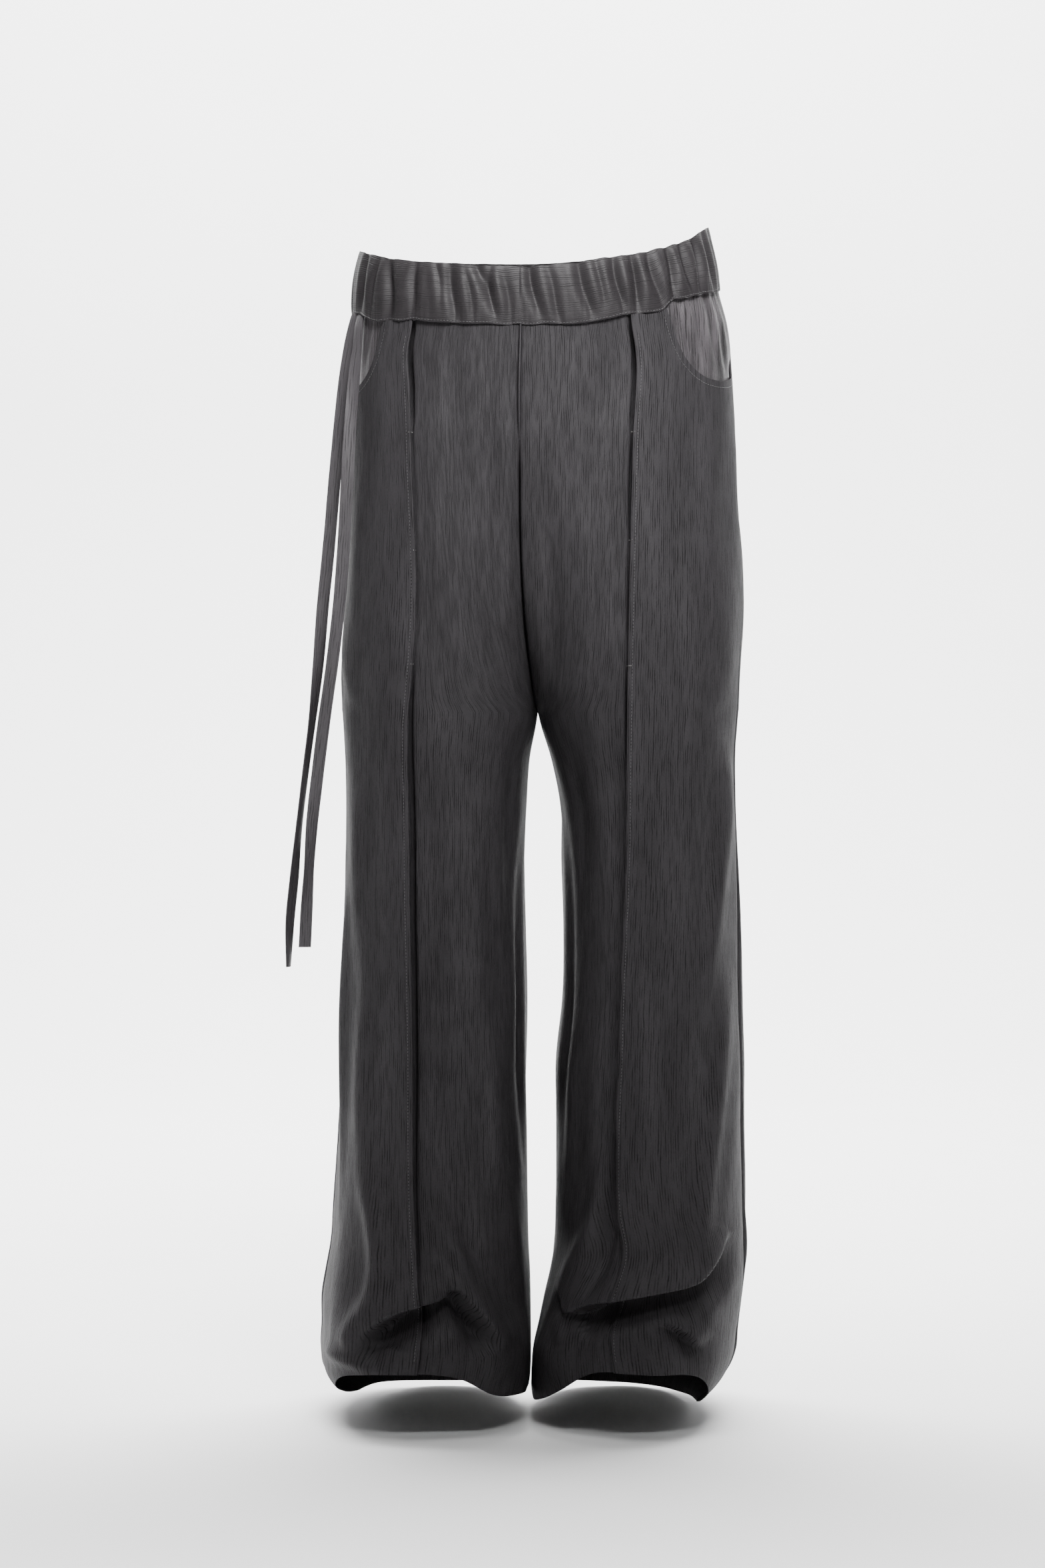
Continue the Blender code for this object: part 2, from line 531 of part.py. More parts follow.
def pocket_facing(skin, side_name):
    """The facing behind the scoop, below the front panel but level with it at the side seam."""
    shares = np.linspace(0, 1, 13)
    downs = np.array([0, 0.12, 0.3, 0.5, 0.68, 0.84, 1.0])
    places = facing_places(skin, shares, np.full((1, len(shares)), -0.04))
    tops = below_band(places[0], side_name)
    z = tops[None] + (FACING_BOTTOM - tops[None]) * downs[:, None]
    places = facing_places(skin, shares, z)
    rise = smooth(0.78, 1.0, shares)[None] * smooth(FACING_JOINS_SEAM - 0.025,
                                                    FACING_JOINS_SEAM, z)
    return lay(skin, (), places, z, -FACING_DROP * (1 - rise))


def waistband(right, left):
    """The ring of the waistband, from the centre back round the right side to the left."""
    sheets = []
    for skin, gathers, side_name in ((right, RIGHT_GATHERS, "right"),
                                     (left, LEFT_GATHERS, "left")):
        places = (np.arange(BAND_COLUMNS // 2) + 0.5) / (BAND_COLUMNS // 2) * 2
        top = read(BAND_EDGES, BAND_COLUMNS_READ, side_name + "_top", places)
        bottom = read(BAND_EDGES, BAND_COLUMNS_READ, side_name + "_bottom", places)
        up = np.array(BAND_ROWS)[:, None]
        z = bottom[None] + (top - bottom)[None] * up
        places = np.repeat(places[None], len(z), 0)
        long = between(skin, skin["lengths"], np.zeros(1))[0].mean()
        level = np.full(z.shape, BAND_PROUD)
        bulge = 0.0012 * np.sin(np.pi * up)
        for way, lean, share in gathers:
            off = (places - way + lean * (up - 0.5)) * long
            level -= share * GATHER_DEPTH * np.exp(-((off / GATHER_WIDTH) ** 2))
        sheets.append(lay(skin, (), places, z, level + bulge))
    return np.concatenate([sheets[0][:, ::-1], sheets[1]], 1)


def sheet_normals(points, ring):
    """Normals of a sheet, level along its first row, which meets another piece."""
    if ring:
        across = np.roll(points, -1, 1) - np.roll(points, 1, 1)
    else:
        across = np.gradient(points, axis=1)
        across[:, 1:-1] = points[:, 2:] - points[:, :-2]
    down = np.gradient(points, axis=0)
    normal = np.cross(across, down)
    normal[0, :, 2] = 0.0
    return normal / np.maximum(np.linalg.norm(normal, axis=-1, keepdims=True), 1e-12)


def add_mesh(name, vertices, faces, finish):
    mesh = bpy.data.meshes.new(name)
    mesh.from_pydata([tuple(v) for v in vertices], [], faces)
    mesh.update()
    made = bpy.data.objects.new(name, mesh)
    bpy.context.scene.collection.objects.link(made)
    made.data.materials.append(finish)
    return made


def add_wall(name, points, thick, finish, ring=False, flip=False):
    """A closed wall of even thickness round a sheet of points."""
    normal = sheet_normals(points, ring) * (-1 if flip else 1)
    rows, columns = points.shape[:2]
    outer = (points + normal * thick / 2).reshape(-1, 3)
    inner = (points - normal * thick / 2).reshape(-1, 3)
    count = rows * columns
    faces = []
    spans = columns if ring else columns - 1
    for r in range(rows - 1):
        for c in range(spans):
            a, b = r * columns + c, r * columns + (c + 1) % columns
            quad = (a, b, b + columns, a + columns)
            faces.append(quad if not flip else quad[::-1])
            back = tuple(count + k for k in quad[::-1])
            faces.append(back if not flip else back[::-1])
    edges = [(c, (c + 1) % columns) for c in range(spans)]
    last = (rows - 1) * columns
    edges += [(last + (c + 1) % columns, last + c) for c in range(spans)]
    if not ring:
        edges += [((r + 1) * columns, r * columns) for r in range(rows - 1)]
        edges += [(r * columns + columns - 1, (r + 1) * columns + columns - 1)
                  for r in range(rows - 1)]
    for a, b in edges:
        rim = (a, count + a, count + b, b)
        faces.append(rim if not flip else rim[::-1])
    return add_mesh(name, np.concatenate([outer, inner]), faces, finish)


def add_tie(name, table, finish):
    """A flat strip that hangs from the waistband and turns as it falls."""
    ends = table[0][0], table[-1][0]
    z = np.linspace(ends[0], ends[1], 27)
    x, y, turn = (read(table, TIE_COLUMNS, n, z) for n in TIE_COLUMNS[1:])
    turn = np.radians(turn)
    wide = np.stack([np.cos(turn), np.sin(turn), np.zeros(len(z))], 1) * TIE_WIDTH / 2
    middle = np.stack([x, y, z], 1)
    sheet = np.stack([middle - wide, middle + wide], 1)
    return add_wall(name, sheet, TIE_THICK, finish)


def add_finish(name):
    colour, rough = FINISHES[name]
    finish = bpy.data.materials.new(name)
    finish.use_nodes = True
    shader = finish.node_tree.nodes["Principled BSDF"]
    shader.inputs["Base Color"].default_value = (*colour, 1.0)
    shader.inputs["Roughness"].default_value = rough
    shader.inputs["Metallic"].default_value = 0.0
    return finish


def build():
    for old in list(bpy.data.objects):
        bpy.data.objects.remove(old, do_unlink=True)
    finishes = {name: add_finish(name) for name in FINISHES}
    right = make_skin(RIGHT_LEG, RIGHT_LINES, -1)
    left = make_skin(LEFT_LEG, LEFT_LINES, 1)
    add_wall("front_right", front_panel(right, RIGHT_FOLDS, "right"), WALL, finishes["crepe"],
             flip=True)
    add_wall("front_left", front_panel(left, LEFT_FOLDS, "left"), WALL, finishes["crepe"])
    add_wall("back_right", back_panel(right, RIGHT_FOLDS, "right"), WALL, finishes["crepe"],
             flip=True)
    add_wall("back_left", back_panel(left, LEFT_FOLDS, "left"), WALL, finishes["crepe"])
    add_wall("facing_right", pocket_facing(right, "right"), WALL, finishes["facing"], flip=True)
    add_wall("facing_left", pocket_facing(left, "left"), WALL, finishes["facing"])
    add_wall("waistband", waistband(right, left), BAND_WALL, finishes["band"], ring=True)
    add_tie("tie_outer", TIE_OUTER, finishes["tie"])
    add_tie("tie_inner", TIE_INNER, finishes["tie"])


build()
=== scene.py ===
"""Looks of the pleated wide-leg trousers: crepe, pleats, breaks, sewing, light and camera.

Every shell is a fine sheet of points on the garment's skin, as in the CAD, with the cloth's own
folds. Metres. The origin is the middle of the waist, +Z is up and the front faces -Y.
"""

import math

import bpy
import numpy as np
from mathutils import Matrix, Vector


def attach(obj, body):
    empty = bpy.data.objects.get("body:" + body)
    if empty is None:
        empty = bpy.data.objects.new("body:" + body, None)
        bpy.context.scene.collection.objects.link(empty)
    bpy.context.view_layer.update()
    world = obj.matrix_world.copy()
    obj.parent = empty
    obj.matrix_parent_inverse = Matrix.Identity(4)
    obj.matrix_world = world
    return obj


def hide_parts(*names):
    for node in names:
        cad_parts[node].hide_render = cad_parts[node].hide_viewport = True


# Cloth. ROUND is the power of the superellipse that a leg's section follows.
WALL = 0.0009
BAND_WALL = 0.0024
SEAM_GAP = 0.0001
SEAM_LAP = 0.00015
ROUND = 2.3
DRAPE_DEPTH = 0.0011

# Knife pleat
PLEAT_STEP = 0.0025
PLEAT_UNDERLAY = 0.019
SLIT_WIDTH = 0.004
FALL_WIDTH = 0.03

# Pocket
FACING_DROP = 0.002
FACING_TUCK = 0.0035
FACING_SAG = 0.0016
FACING_PUCKER = 0.0011
FACING_WIDTH = 0.12
FACING_LEVEL = -0.04
FACING_BOTTOM = -0.125
FACING_JOINS_SEAM = -0.06

# Waistband
BAND_PROUD = 0.0006
BAND_SWELL = 0.0016
BAND_RUCK = 0.00025
GATHER_DEPTH = 0.005
GATHER_RIDGE = 0.0012
GATHER_NOTCH = 0.0009
GATHER_WIDER = 1.1
BACK_GATHERS = 15

# Ties
TIE_WIDTH = 0.0115
TIE_THICK = 0.0011
TIE_CUP = 0.0009

# Crepe: how far its grooves wander, in grooves.
WANDER = 1.1

# Sewing
THREAD = 0.0005
THREAD_PROUD = 0.00012
STITCH = 0.0024
STITCH_GAP = 0.0031
TACK_STITCH = 0.0016
PLEAT_STITCHING = 0.004
SCOOP_STITCHING = 0.006
TACK_FROM = -0.0018
TACK_TO = 0.0026
TACK_CLIMBS = 0.0006
BAND_THREAD_PROUD = 0.0001
STITCHED_DOWN = np.linspace(-0.06, -0.99, 400)
# A direction that no sewn line runs in, to turn the threads by.
ASLANT = (0.31, 0.17, 0.93)

# Heights where the tops, the cut cloth and the hems are read, and the crotch
SCOOP_LEVEL = -0.045
KNEE = -0.5
HEM_LEVEL = -1.02
CROTCH = -0.403

# Rows and columns of the skin and the shells
SKIN_TOP = 0.074
SKIN_END = -1.0621
SKIN_STEP = 0.004
SKIN_COLUMNS = 240
SECTION_POINTS = 300
LINE_POINTS = 25
EDGE_POINTS = 60
LEVEL_HEM_STARTS = -0.86
HEM_ROWS = 150
TOP_ROWS = np.linspace(0, 1, 27) ** 1.15
TOP_ROWS_END = -0.125
MIDDLE_ROWS = np.linspace(-0.128, LEVEL_HEM_STARTS, 128)
CENTRE_COLUMNS = np.concatenate([(0.0, 0.006, 0.012, 0.02, 0.03), np.linspace(0.045, 0.955, 44),
                                 (0.967, 0.977, 0.985, 0.991, 0.996, 1.0)])
SIDE_COLUMNS = np.concatenate([np.linspace(0.02, 0.24, 11), np.linspace(0.255, 0.31, 9),
                               np.linspace(0.33, 0.96, 30), (0.97, 0.978, 0.985, 0.992, 1.0)])
BACK_COLUMNS = np.concatenate([(0.0, 0.003, 0.006, 0.01, 0.015), np.linspace(0.022, 0.978, 90),
                               (0.985, 0.99, 0.994, 0.997, 1.0)])
FACING_ROWS = np.linspace(0, 1, 44)
FACING_COLUMNS = np.linspace(0, 1, 48)
BAND_COLUMNS = 720
BAND_COLUMN_WIDTH = 0.00125
BAND_ROWS = np.linspace(0, 1, 22)
TIE_ROWS = 160
TIE_PLACES = np.linspace(-0.5, 0.5, 9)

# Studio. The camera is level, 3 m before the middle of the trousers.
FLOOR = -1.061
FLOOR_HALF = 9.0
FLOOR_FRONT = -6.0
FLOOR_BACK = 3.0
FLOOR_SWEEP = 1.5
WALL_TOP = 7.0
SENSOR = 36.0
CAMERA_BACK = 3.0
CAMERA_ACROSS = -0.012
CAMERA_HEIGHT = -0.47
PHOTO_HEIGHT = 2352
METRES_PER_PIXEL = 0.00063
WORLD_LIGHT = 0.105
# Each lamp's name, place, aim, width and height, watts and spread in degrees
LAMPS = (
    ("key", (0.25, -1.25, 0.85), (0.02, 0.0, 0.0), (0.8, 0.6), 9.5, 53.0),
    ("top", (-0.2, -0.6, 2.2), (0.0, -0.1, -0.6), (1.4, 1.0), 34.0, 180.0),
    ("back wall", (0.0, 1.6, 3.5), (0.0, 4.4, 0.0), (5.0, 1.5), 1050.0, 180.0),
    ("floor", (0.0, 1.4, 3.0), (0.0, 1.0, -1.0), (5.0, 2.0), 190.0, 180.0),
)

# The skin's sections: inner and outer edge across X, front and back face along Y.
LEG_COLUMNS = ("z", "inner", "outer", "front", "back")
RIGHT_LEG = (
    (0.075, 0.0, -0.159, -0.11, 0.109),
    (0.032, 0.0, -0.1635, -0.112, 0.1105),
    (0.0, 0.0, -0.169, -0.1135, 0.112),
    (-0.045, 0.0, -0.1722, -0.115, 0.115),
    (-0.107, 0.0, -0.1735, -0.1165, 0.121),
    (-0.17, 0.0, -0.1745, -0.1175, 0.1255),
    (-0.233, 0.0, -0.1765, -0.1185, 0.1265),
    (-0.296, 0.0, -0.1796, -0.119, 0.123),
    (-0.359, 0.0, -0.1833, -0.119, 0.1185),
    (-0.403, 0.0017, -0.1811, -0.1185, 0.115),
    (-0.447, -0.0057, -0.1789, -0.1175, 0.1125),
    (-0.485, -0.0082, -0.1783, -0.1165, 0.111),
    (-0.548, -0.0107, -0.1786, -0.115, 0.109),
    (-0.611, -0.0107, -0.1796, -0.1135, 0.1075),
    (-0.674, -0.0095, -0.1811, -0.1125, 0.1065),
    (-0.737, -0.0093, -0.1821, -0.112, 0.106),
    (-0.8, -0.0082, -0.1846, -0.113, 0.1065),
    (-0.863, -0.0076, -0.1884, -0.118, 0.1085),
    (-0.901, -0.0069, -0.1909, -0.124, 0.111),
    (-0.926, -0.0055, -0.1953, -0.131, 0.1135),
    (-0.951, -0.005, -0.1991, -0.138, 0.1165),
    (-0.977, -0.0046, -0.1993, -0.144, 0.1195),
    (-1.002, -0.0046, -0.2005, -0.149, 0.122),
    (-1.016, -0.005, -0.1985, -0.15, 0.123),
    (-1.029, -0.006, -0.189, -0.148, 0.123),
    (-1.042, -0.0092, -0.171, -0.145, 0.1215),
    (-1.062, -0.02, -0.154, -0.14, 0.119),
)
LEFT_LEG = (
    (0.075, 0.0, 0.16, -0.11, 0.109),
    (0.05, 0.0, 0.162, -0.111, 0.1095),
    (0.013, 0.0, 0.1692, -0.113, 0.1115),
    (-0.006, 0.0, 0.1725, -0.114, 0.1125),
    (-0.038, 0.0, 0.1808, -0.115, 0.1145),
    (-0.082, 0.0, 0.1852, -0.116, 0.119),
    (-0.145, 0.0, 0.1884, -0.117, 0.124),
    (-0.195, 0.0, 0.1903, -0.118, 0.1265),
    (-0.258, 0.0, 0.1953, -0.1185, 0.126),
    (-0.309, 0.0, 0.1966, -0.119, 0.123),
    (-0.359, 0.0, 0.194, -0.119, 0.1185),
    (-0.403, 0.0033, 0.1915, -0.1185, 0.115),
    (-0.447, 0.0158, 0.1884, -0.1175, 0.1125),
    (-0.485, 0.0235, 0.1884, -0.1165, 0.111),
    (-0.548, 0.0268, 0.1896, -0.115, 0.109),
    (-0.611, 0.0277, 0.1915, -0.1135, 0.1075),
    (-0.674, 0.0265, 0.1925, -0.1125, 0.1065),
    (-0.737, 0.0205, 0.1947, -0.112, 0.106),
    (-0.8, 0.0202, 0.195, -0.113, 0.1065),
    (-0.863, 0.02, 0.1959, -0.118, 0.1085),
    (-0.901, 0.019, 0.1966, -0.124, 0.111),
    (-0.926, 0.015, 0.195, -0.131, 0.1135),
    (-0.951, 0.0095, 0.1935, -0.138, 0.1165),
    (-0.977, 0.0042, 0.1903, -0.144, 0.1195),
    (-1.002, -0.001, 0.1865, -0.149, 0.122),
    (-1.016, -0.0021, 0.1805, -0.15, 0.123),
    (-1.029, -0.0028, 0.171, -0.148, 0.123),
    (-1.042, -0.0026, 0.158, -0.145, 0.1215),
    (-1.062, 0.0088, 0.146, -0.14, 0.119),
)

# Where the centre-front and centre-back seams run, down to the crotch.
SEAT_COLUMNS = ("z", "front_x", "front_y", "back_x", "back_y")
SEAT = (
    (0.075, -0.014, -0.11, 0.014, 0.109),
    (0.0, -0.014, -0.113, 0.014, 0.1112),
    (-0.053, -0.0138, -0.1146, 0.014, 0.1148),
    (-0.11, -0.015, -0.115, 0.014, 0.119),
    (-0.18, -0.0148, -0.113, 0.013, 0.119),
    (-0.235, -0.0145, -0.108, 0.012, 0.112),
    (-0.291, -0.0125, -0.097, 0.01, 0.099),
    (-0.335, -0.009, -0.08, 0.008, 0.084),
    (-0.365, -0.005, -0.06, 0.006, 0.064),
    (-0.388, -0.0015, -0.036, 0.004, 0.04),
    (-0.398, 0.001, -0.018, 0.003, 0.02),
    (-0.403, 0.0025, 0.0, 0.0025, 0.0),
)

# Lengthwise lines of each leg: the pleat's edge across X, and the side seam along Y.
LINE_COLUMNS = ("z", "pleat_x", "seam_y")
RIGHT_LINES = (
    (0.0, -0.1136, 0.012),
    (-0.053, -0.1136, 0.012),
    (-0.07, -0.1168, 0.012),
    (-0.11, -0.1158, 0.012),
    (-0.15, -0.1142, 0.011),
    (-0.36, -0.1118, 0.004),
    (-0.4, -0.1158, 0.0),
    (-0.52, -0.1155, 0.0),
    (-0.7, -0.1125, 0.0),
    (-0.86, -0.1108, 0.0),
    (-0.915, -0.107, 0.0),
    (-0.945, -0.1035, 0.0),
    (-1.06, -0.1155, 0.0),
)
LEFT_LINES = (
    (0.0, 0.0872, -0.01),
    (-0.053, 0.088, -0.01),
    (-0.07, 0.0909, -0.012),
    (-0.15, 0.089, -0.018),
    (-0.36, 0.0838, -0.034),
    (-0.4, 0.0832, -0.036),
    (-0.55, 0.0812, -0.038),
    (-0.7, 0.0757, -0.037),
    (-0.86, 0.0735, -0.033),
    (-0.9, 0.0785, -0.032),
    (-0.93, 0.07, -0.032),
    (-1.06, 0.08, -0.032),
)

# How far the pleat stands open, how far the centre panel falls back beside it, and how deep the
# narrow slit is along its edge.
PLEAT_COLUMNS = ("z", "step", "fall", "right_slit", "left_slit")
PLEAT_OPENING = (
    (0.0, 0.0011, 0.0, 0.0, 0.0),
    (-0.042, 0.0011, 0.0, 0.002, 0.002),
    (-0.06, 0.0016, 0.0005, 0.0075, 0.008),
    (-0.1, 0.0022, 0.0012, 0.0095, 0.0105),
    (-0.13, 0.0018, 0.0006, 0.007, 0.0085),
    (-0.15, 0.0012, 0.0, 0.002, 0.003),
    (-0.17, 0.0014, 0.0002, 0.0014, 0.007),
    (-0.205, 0.0015, 0.0003, 0.0012, 0.008),
    (-0.253, 0.0012, 0.0, 0.001, 0.003),
    (-0.305, 0.0015, 0.0002, 0.0012, 0.0045),
    (-0.362, 0.0013, 0.0002, 0.0018, 0.0025),
    (-0.4, 0.0024, 0.0025, 0.0055, 0.0065),
    (-0.45, 0.0034, 0.0055, 0.007, 0.0075),
    (-0.6, 0.0038, 0.0085, 0.0065, 0.0065),
    (-0.78, 0.0038, 0.007, 0.005, 0.005),
    (-0.88, 0.003, 0.0035, 0.003, 0.003),
    (-0.96, 0.0022, 0.001, 0.001, 0.001),
    (-1.06, 0.0022, 0.001, 0.0005, 0.0005),
)

# How deep the seams are drawn in, how far the cloth behind the side seam stands out, and the fold
# the centre-front seam lies in: how deep, and half its width.
SEAM_COLUMNS = ("z", "middle", "right_side", "left_side", "ridge", "fold", "fold_half")
SEAMS = (
    (0.0, 0.001, 0.0009, 0.0009, 0.0, 0.0, 0.0014),
    (-0.158, 0.001, 0.0009, 0.0009, 0.0, 0.0, 0.0014),
    (-0.18, 0.001, 0.0009, 0.0009, 0.0, 0.008, 0.0018),
    (-0.226, 0.001, 0.0009, 0.0009, 0.0, 0.012, 0.002),
    (-0.284, 0.001, 0.001, 0.001, 0.0, 0.014, 0.0024),
    (-0.328, 0.0009, 0.0011, 0.0012, 0.0001, 0.014, 0.0036),
    (-0.359, 0.0009, 0.0012, 0.0014, 0.0002, 0.013, 0.0044),
    (-0.39, 0.0009, 0.0013, 0.0018, 0.0004, 0.009, 0.0048),
    (-0.42, 0.0009, 0.0015, 0.0022, 0.0006, 0.002, 0.0048),
    (-0.45, 0.0009, 0.0016, 0.0026, 0.0008, 0.0, 0.004),
    (-0.6, 0.0009, 0.002, 0.004, 0.0016, 0.0, 0.004),
    (-0.9, 0.0009, 0.002, 0.0045, 0.002, 0.0, 0.004),
    (-1.0, 0.0009, 0.0012, 0.003, 0.0012, 0.0, 0.004),
    (-1.06, 0.0009, 0.0009, 0.002, 0.0006, 0.0, 0.004),
)
SEAM_WIDTH = 0.0016

# The waistband's edges round the waist: 0 is the centre front, 1 the side, 2 the centre back.
EDGE_COLUMNS = ("round", "right_top", "right_bottom", "left_top", "left_bottom")
BAND_EDGES = (
    (0.0, 0.0, -0.0525, 0.0, -0.0525),
    (0.2, 0.0025, -0.0515, 0.004, -0.051),
    (0.32, 0.005, -0.0485, 0.009, -0.046),
    (0.45, 0.0085, -0.046, 0.014, -0.04),
    (0.54, 0.0128, -0.045, 0.0195, -0.0355),
    (0.57, 0.0145, -0.0445, 0.0215, -0.0275),
    (0.63, 0.0178, -0.042, 0.0258, -0.0245),
    (0.7, 0.0215, -0.036, 0.031, -0.0205),
    (0.85, 0.0295, -0.029, 0.0455, -0.0115),
    (1.0, 0.035, -0.024, 0.054, -0.005),
    (1.3, 0.038, -0.018, 0.052, -0.006),
    (2.0, 0.04, -0.015, 0.04, -0.015),
)

# Gathers in the waistband. Each trough: where it meets the top edge and the seam, round the
# waist, how deep it is at each as a share, and half its width.
GATHERS = {
    "right": ((0.065, 0.04, 0.1, 0.6, 0.0035), (0.12, 0.1, 0.55, 0.1, 0.003),
              (0.175, 0.075, 0.95, 0.25, 0.0048), (0.215, 0.18, 0.25, 0.35, 0.0028),
              (0.275, 0.25, 0.9, 0.8, 0.0052), (0.335, 0.29, 0.6, 0.1, 0.003),
              (0.41, 0.43, 0.8, 0.45, 0.0038), (0.54, 0.53, 1.0, 1.0, 0.005),
              (0.6, 0.64, 0.45, 0.2, 0.003), (0.7, 0.72, 0.9, 0.5, 0.0045),
              (0.86, 0.84, 1.0, 0.8, 0.0045), (0.96, 0.97, 0.8, 0.8, 0.0045)),
    "left": ((0.035, 0.075, 1.0, 0.35, 0.004), (0.1, 0.15, 0.3, 0.55, 0.0034),
             (0.215, 0.27, 1.0, 0.45, 0.0046), (0.29, 0.31, 0.35, 0.15, 0.003),
             (0.355, 0.385, 0.8, 0.55, 0.004), (0.43, 0.44, 0.95, 0.9, 0.0042),
             (0.5, 0.535, 0.9, 0.5, 0.0042), (0.59, 0.6, 1.0, 0.95, 0.0042),
             (0.66, 0.69, 0.85, 0.6, 0.004), (0.745, 0.75, 1.0, 0.9, 0.0042),
             (0.835, 0.85, 0.85, 0.8, 0.0042), (0.93, 0.925, 1.0, 0.9, 0.0045)),
}

# The pocket's scoop: share of the way from the pleat to the side seam, and height.
SCOOP_COLUMNS = ("share", "right_z", "left_z")
SCOOP = (
    (0.262, -0.05, -0.0405),
    (0.275, -0.064, -0.05),
    (0.3, -0.076, -0.064),
    (0.34, -0.085, -0.0765),
    (0.4, -0.093, -0.086),
    (0.5, -0.1, -0.094),
    (0.62, -0.103, -0.0965),
    (0.75, -0.103, -0.0955),
    (0.88, -0.101, -0.0915),
    (1.0, -0.098, -0.086),
)

# The hem's height round the leg: 0 is the inseam, 1 the side seam, 2 the inseam again.
HEM_COLUMNS = ("round", "right_z", "left_z")
HEM = (
    (0.0, -1.034, -1.036),
    (0.18, -1.031, -1.039),
    (0.32, -1.024, -1.022),
    (0.42, -1.006, -1.004),
    (0.6, -1.002, -1.001),
    (0.72, -1.009, -1.0065),
    (0.8, -1.023, -1.024),
    (0.88, -1.035, -1.037),
    (1.0, -1.043, -1.047),
    (1.25, -1.05, -1.056),
    (1.5, -1.056, -1.058),
    (1.75, -1.05, -1.05),
    (2.0, -1.034, -1.036),
)

# Soft folds, by the face they are seen square on: across is X on the front and back, and Y on the
# outer and inner sides. Each row is across and z where the fold starts, at its middle and where
# it ends, then half its width and its depth. Depth is outward, so a trough is negative.
RIGHT_FOLDS = {
    "front": [
        (-0.04, -0.07, -0.044, -0.2, -0.043, -0.38, 0.0085, -0.003),
        (-0.07, -0.06, -0.073, -0.16, -0.07, -0.3, 0.009, -0.0016),
        (-0.092, -0.08, -0.09, -0.2, -0.091, -0.34, 0.009, 0.0016),
        (-0.027, -0.12, -0.026, -0.22, -0.024, -0.33, 0.008, 0.002),
        (-0.162, -0.46, -0.164, -0.56, -0.158, -0.66, 0.01, 0.004),
        (-0.156, -0.64, -0.16, -0.74, -0.156, -0.845, 0.008, 0.005),
        (-0.156, -0.83, -0.144, -0.9, -0.152, -0.95, 0.008, 0.008),
        (-0.148, -0.935, -0.162, -0.96, -0.161, -0.99, 0.008, 0.007),
        (-0.134, -0.7, -0.132, -0.8, -0.13, -0.915, 0.011, -0.004),
        (-0.0356, -0.7, -0.033, -0.8, -0.006, -0.948, 0.009, 0.0055),
        (-0.0885, -0.74, -0.0723, -0.85, -0.03, -0.95, 0.012, -0.007),
        (-0.095, -0.48, -0.09, -0.6, -0.086, -0.72, 0.013, -0.0035),
        (-0.056, -0.47, -0.052, -0.6, -0.05, -0.74, 0.011, 0.0035),
        (-0.2, -0.992, -0.172, -0.99, -0.144, -0.997, 0.008, 0.006),
        (-0.087, -0.893, -0.079, -0.908, -0.074, -0.93, 0.004, -0.003),
        (-0.075, -0.89, -0.066, -0.9, -0.058, -0.912, 0.007, 0.005),
        (-0.078, -0.94, -0.07, -0.955, -0.072, -0.975, 0.004, 0.003),
        (-0.016, -0.42, -0.018, -0.52, -0.021, -0.64, 0.007, -0.004)],
    "outer": [
        (-0.03, -0.12, -0.02, -0.3, -0.026, -0.52, 0.012, -0.003),
        (0.04, -0.3, 0.045, -0.5, 0.04, -0.76, 0.014, -0.005),
        (-0.05, -0.56, -0.045, -0.7, -0.05, -0.86, 0.01, 0.005)],
    "inner": [
        (-0.03, -0.52, -0.035, -0.66, -0.03, -0.84, 0.012, -0.005),
        (0.045, -0.48, 0.04, -0.64, 0.05, -0.86, 0.012, 0.005)],
    "back": [
        (-0.11, -0.09, -0.105, -0.22, -0.095, -0.42, 0.014, -0.0045),
        (-0.03, -0.2, -0.07, -0.33, -0.13, -0.43, 0.012, -0.0055),
        (-0.03, -0.235, -0.06, -0.37, -0.11, -0.48, 0.011, 0.004),
        (-0.14, -0.48, -0.133, -0.64, -0.138, -0.84, 0.013, -0.006),
        (-0.095, -0.43, -0.088, -0.62, -0.093, -0.83, 0.014, 0.0055),
        (-0.052, -0.47, -0.048, -0.64, -0.054, -0.82, 0.012, -0.005)],
}
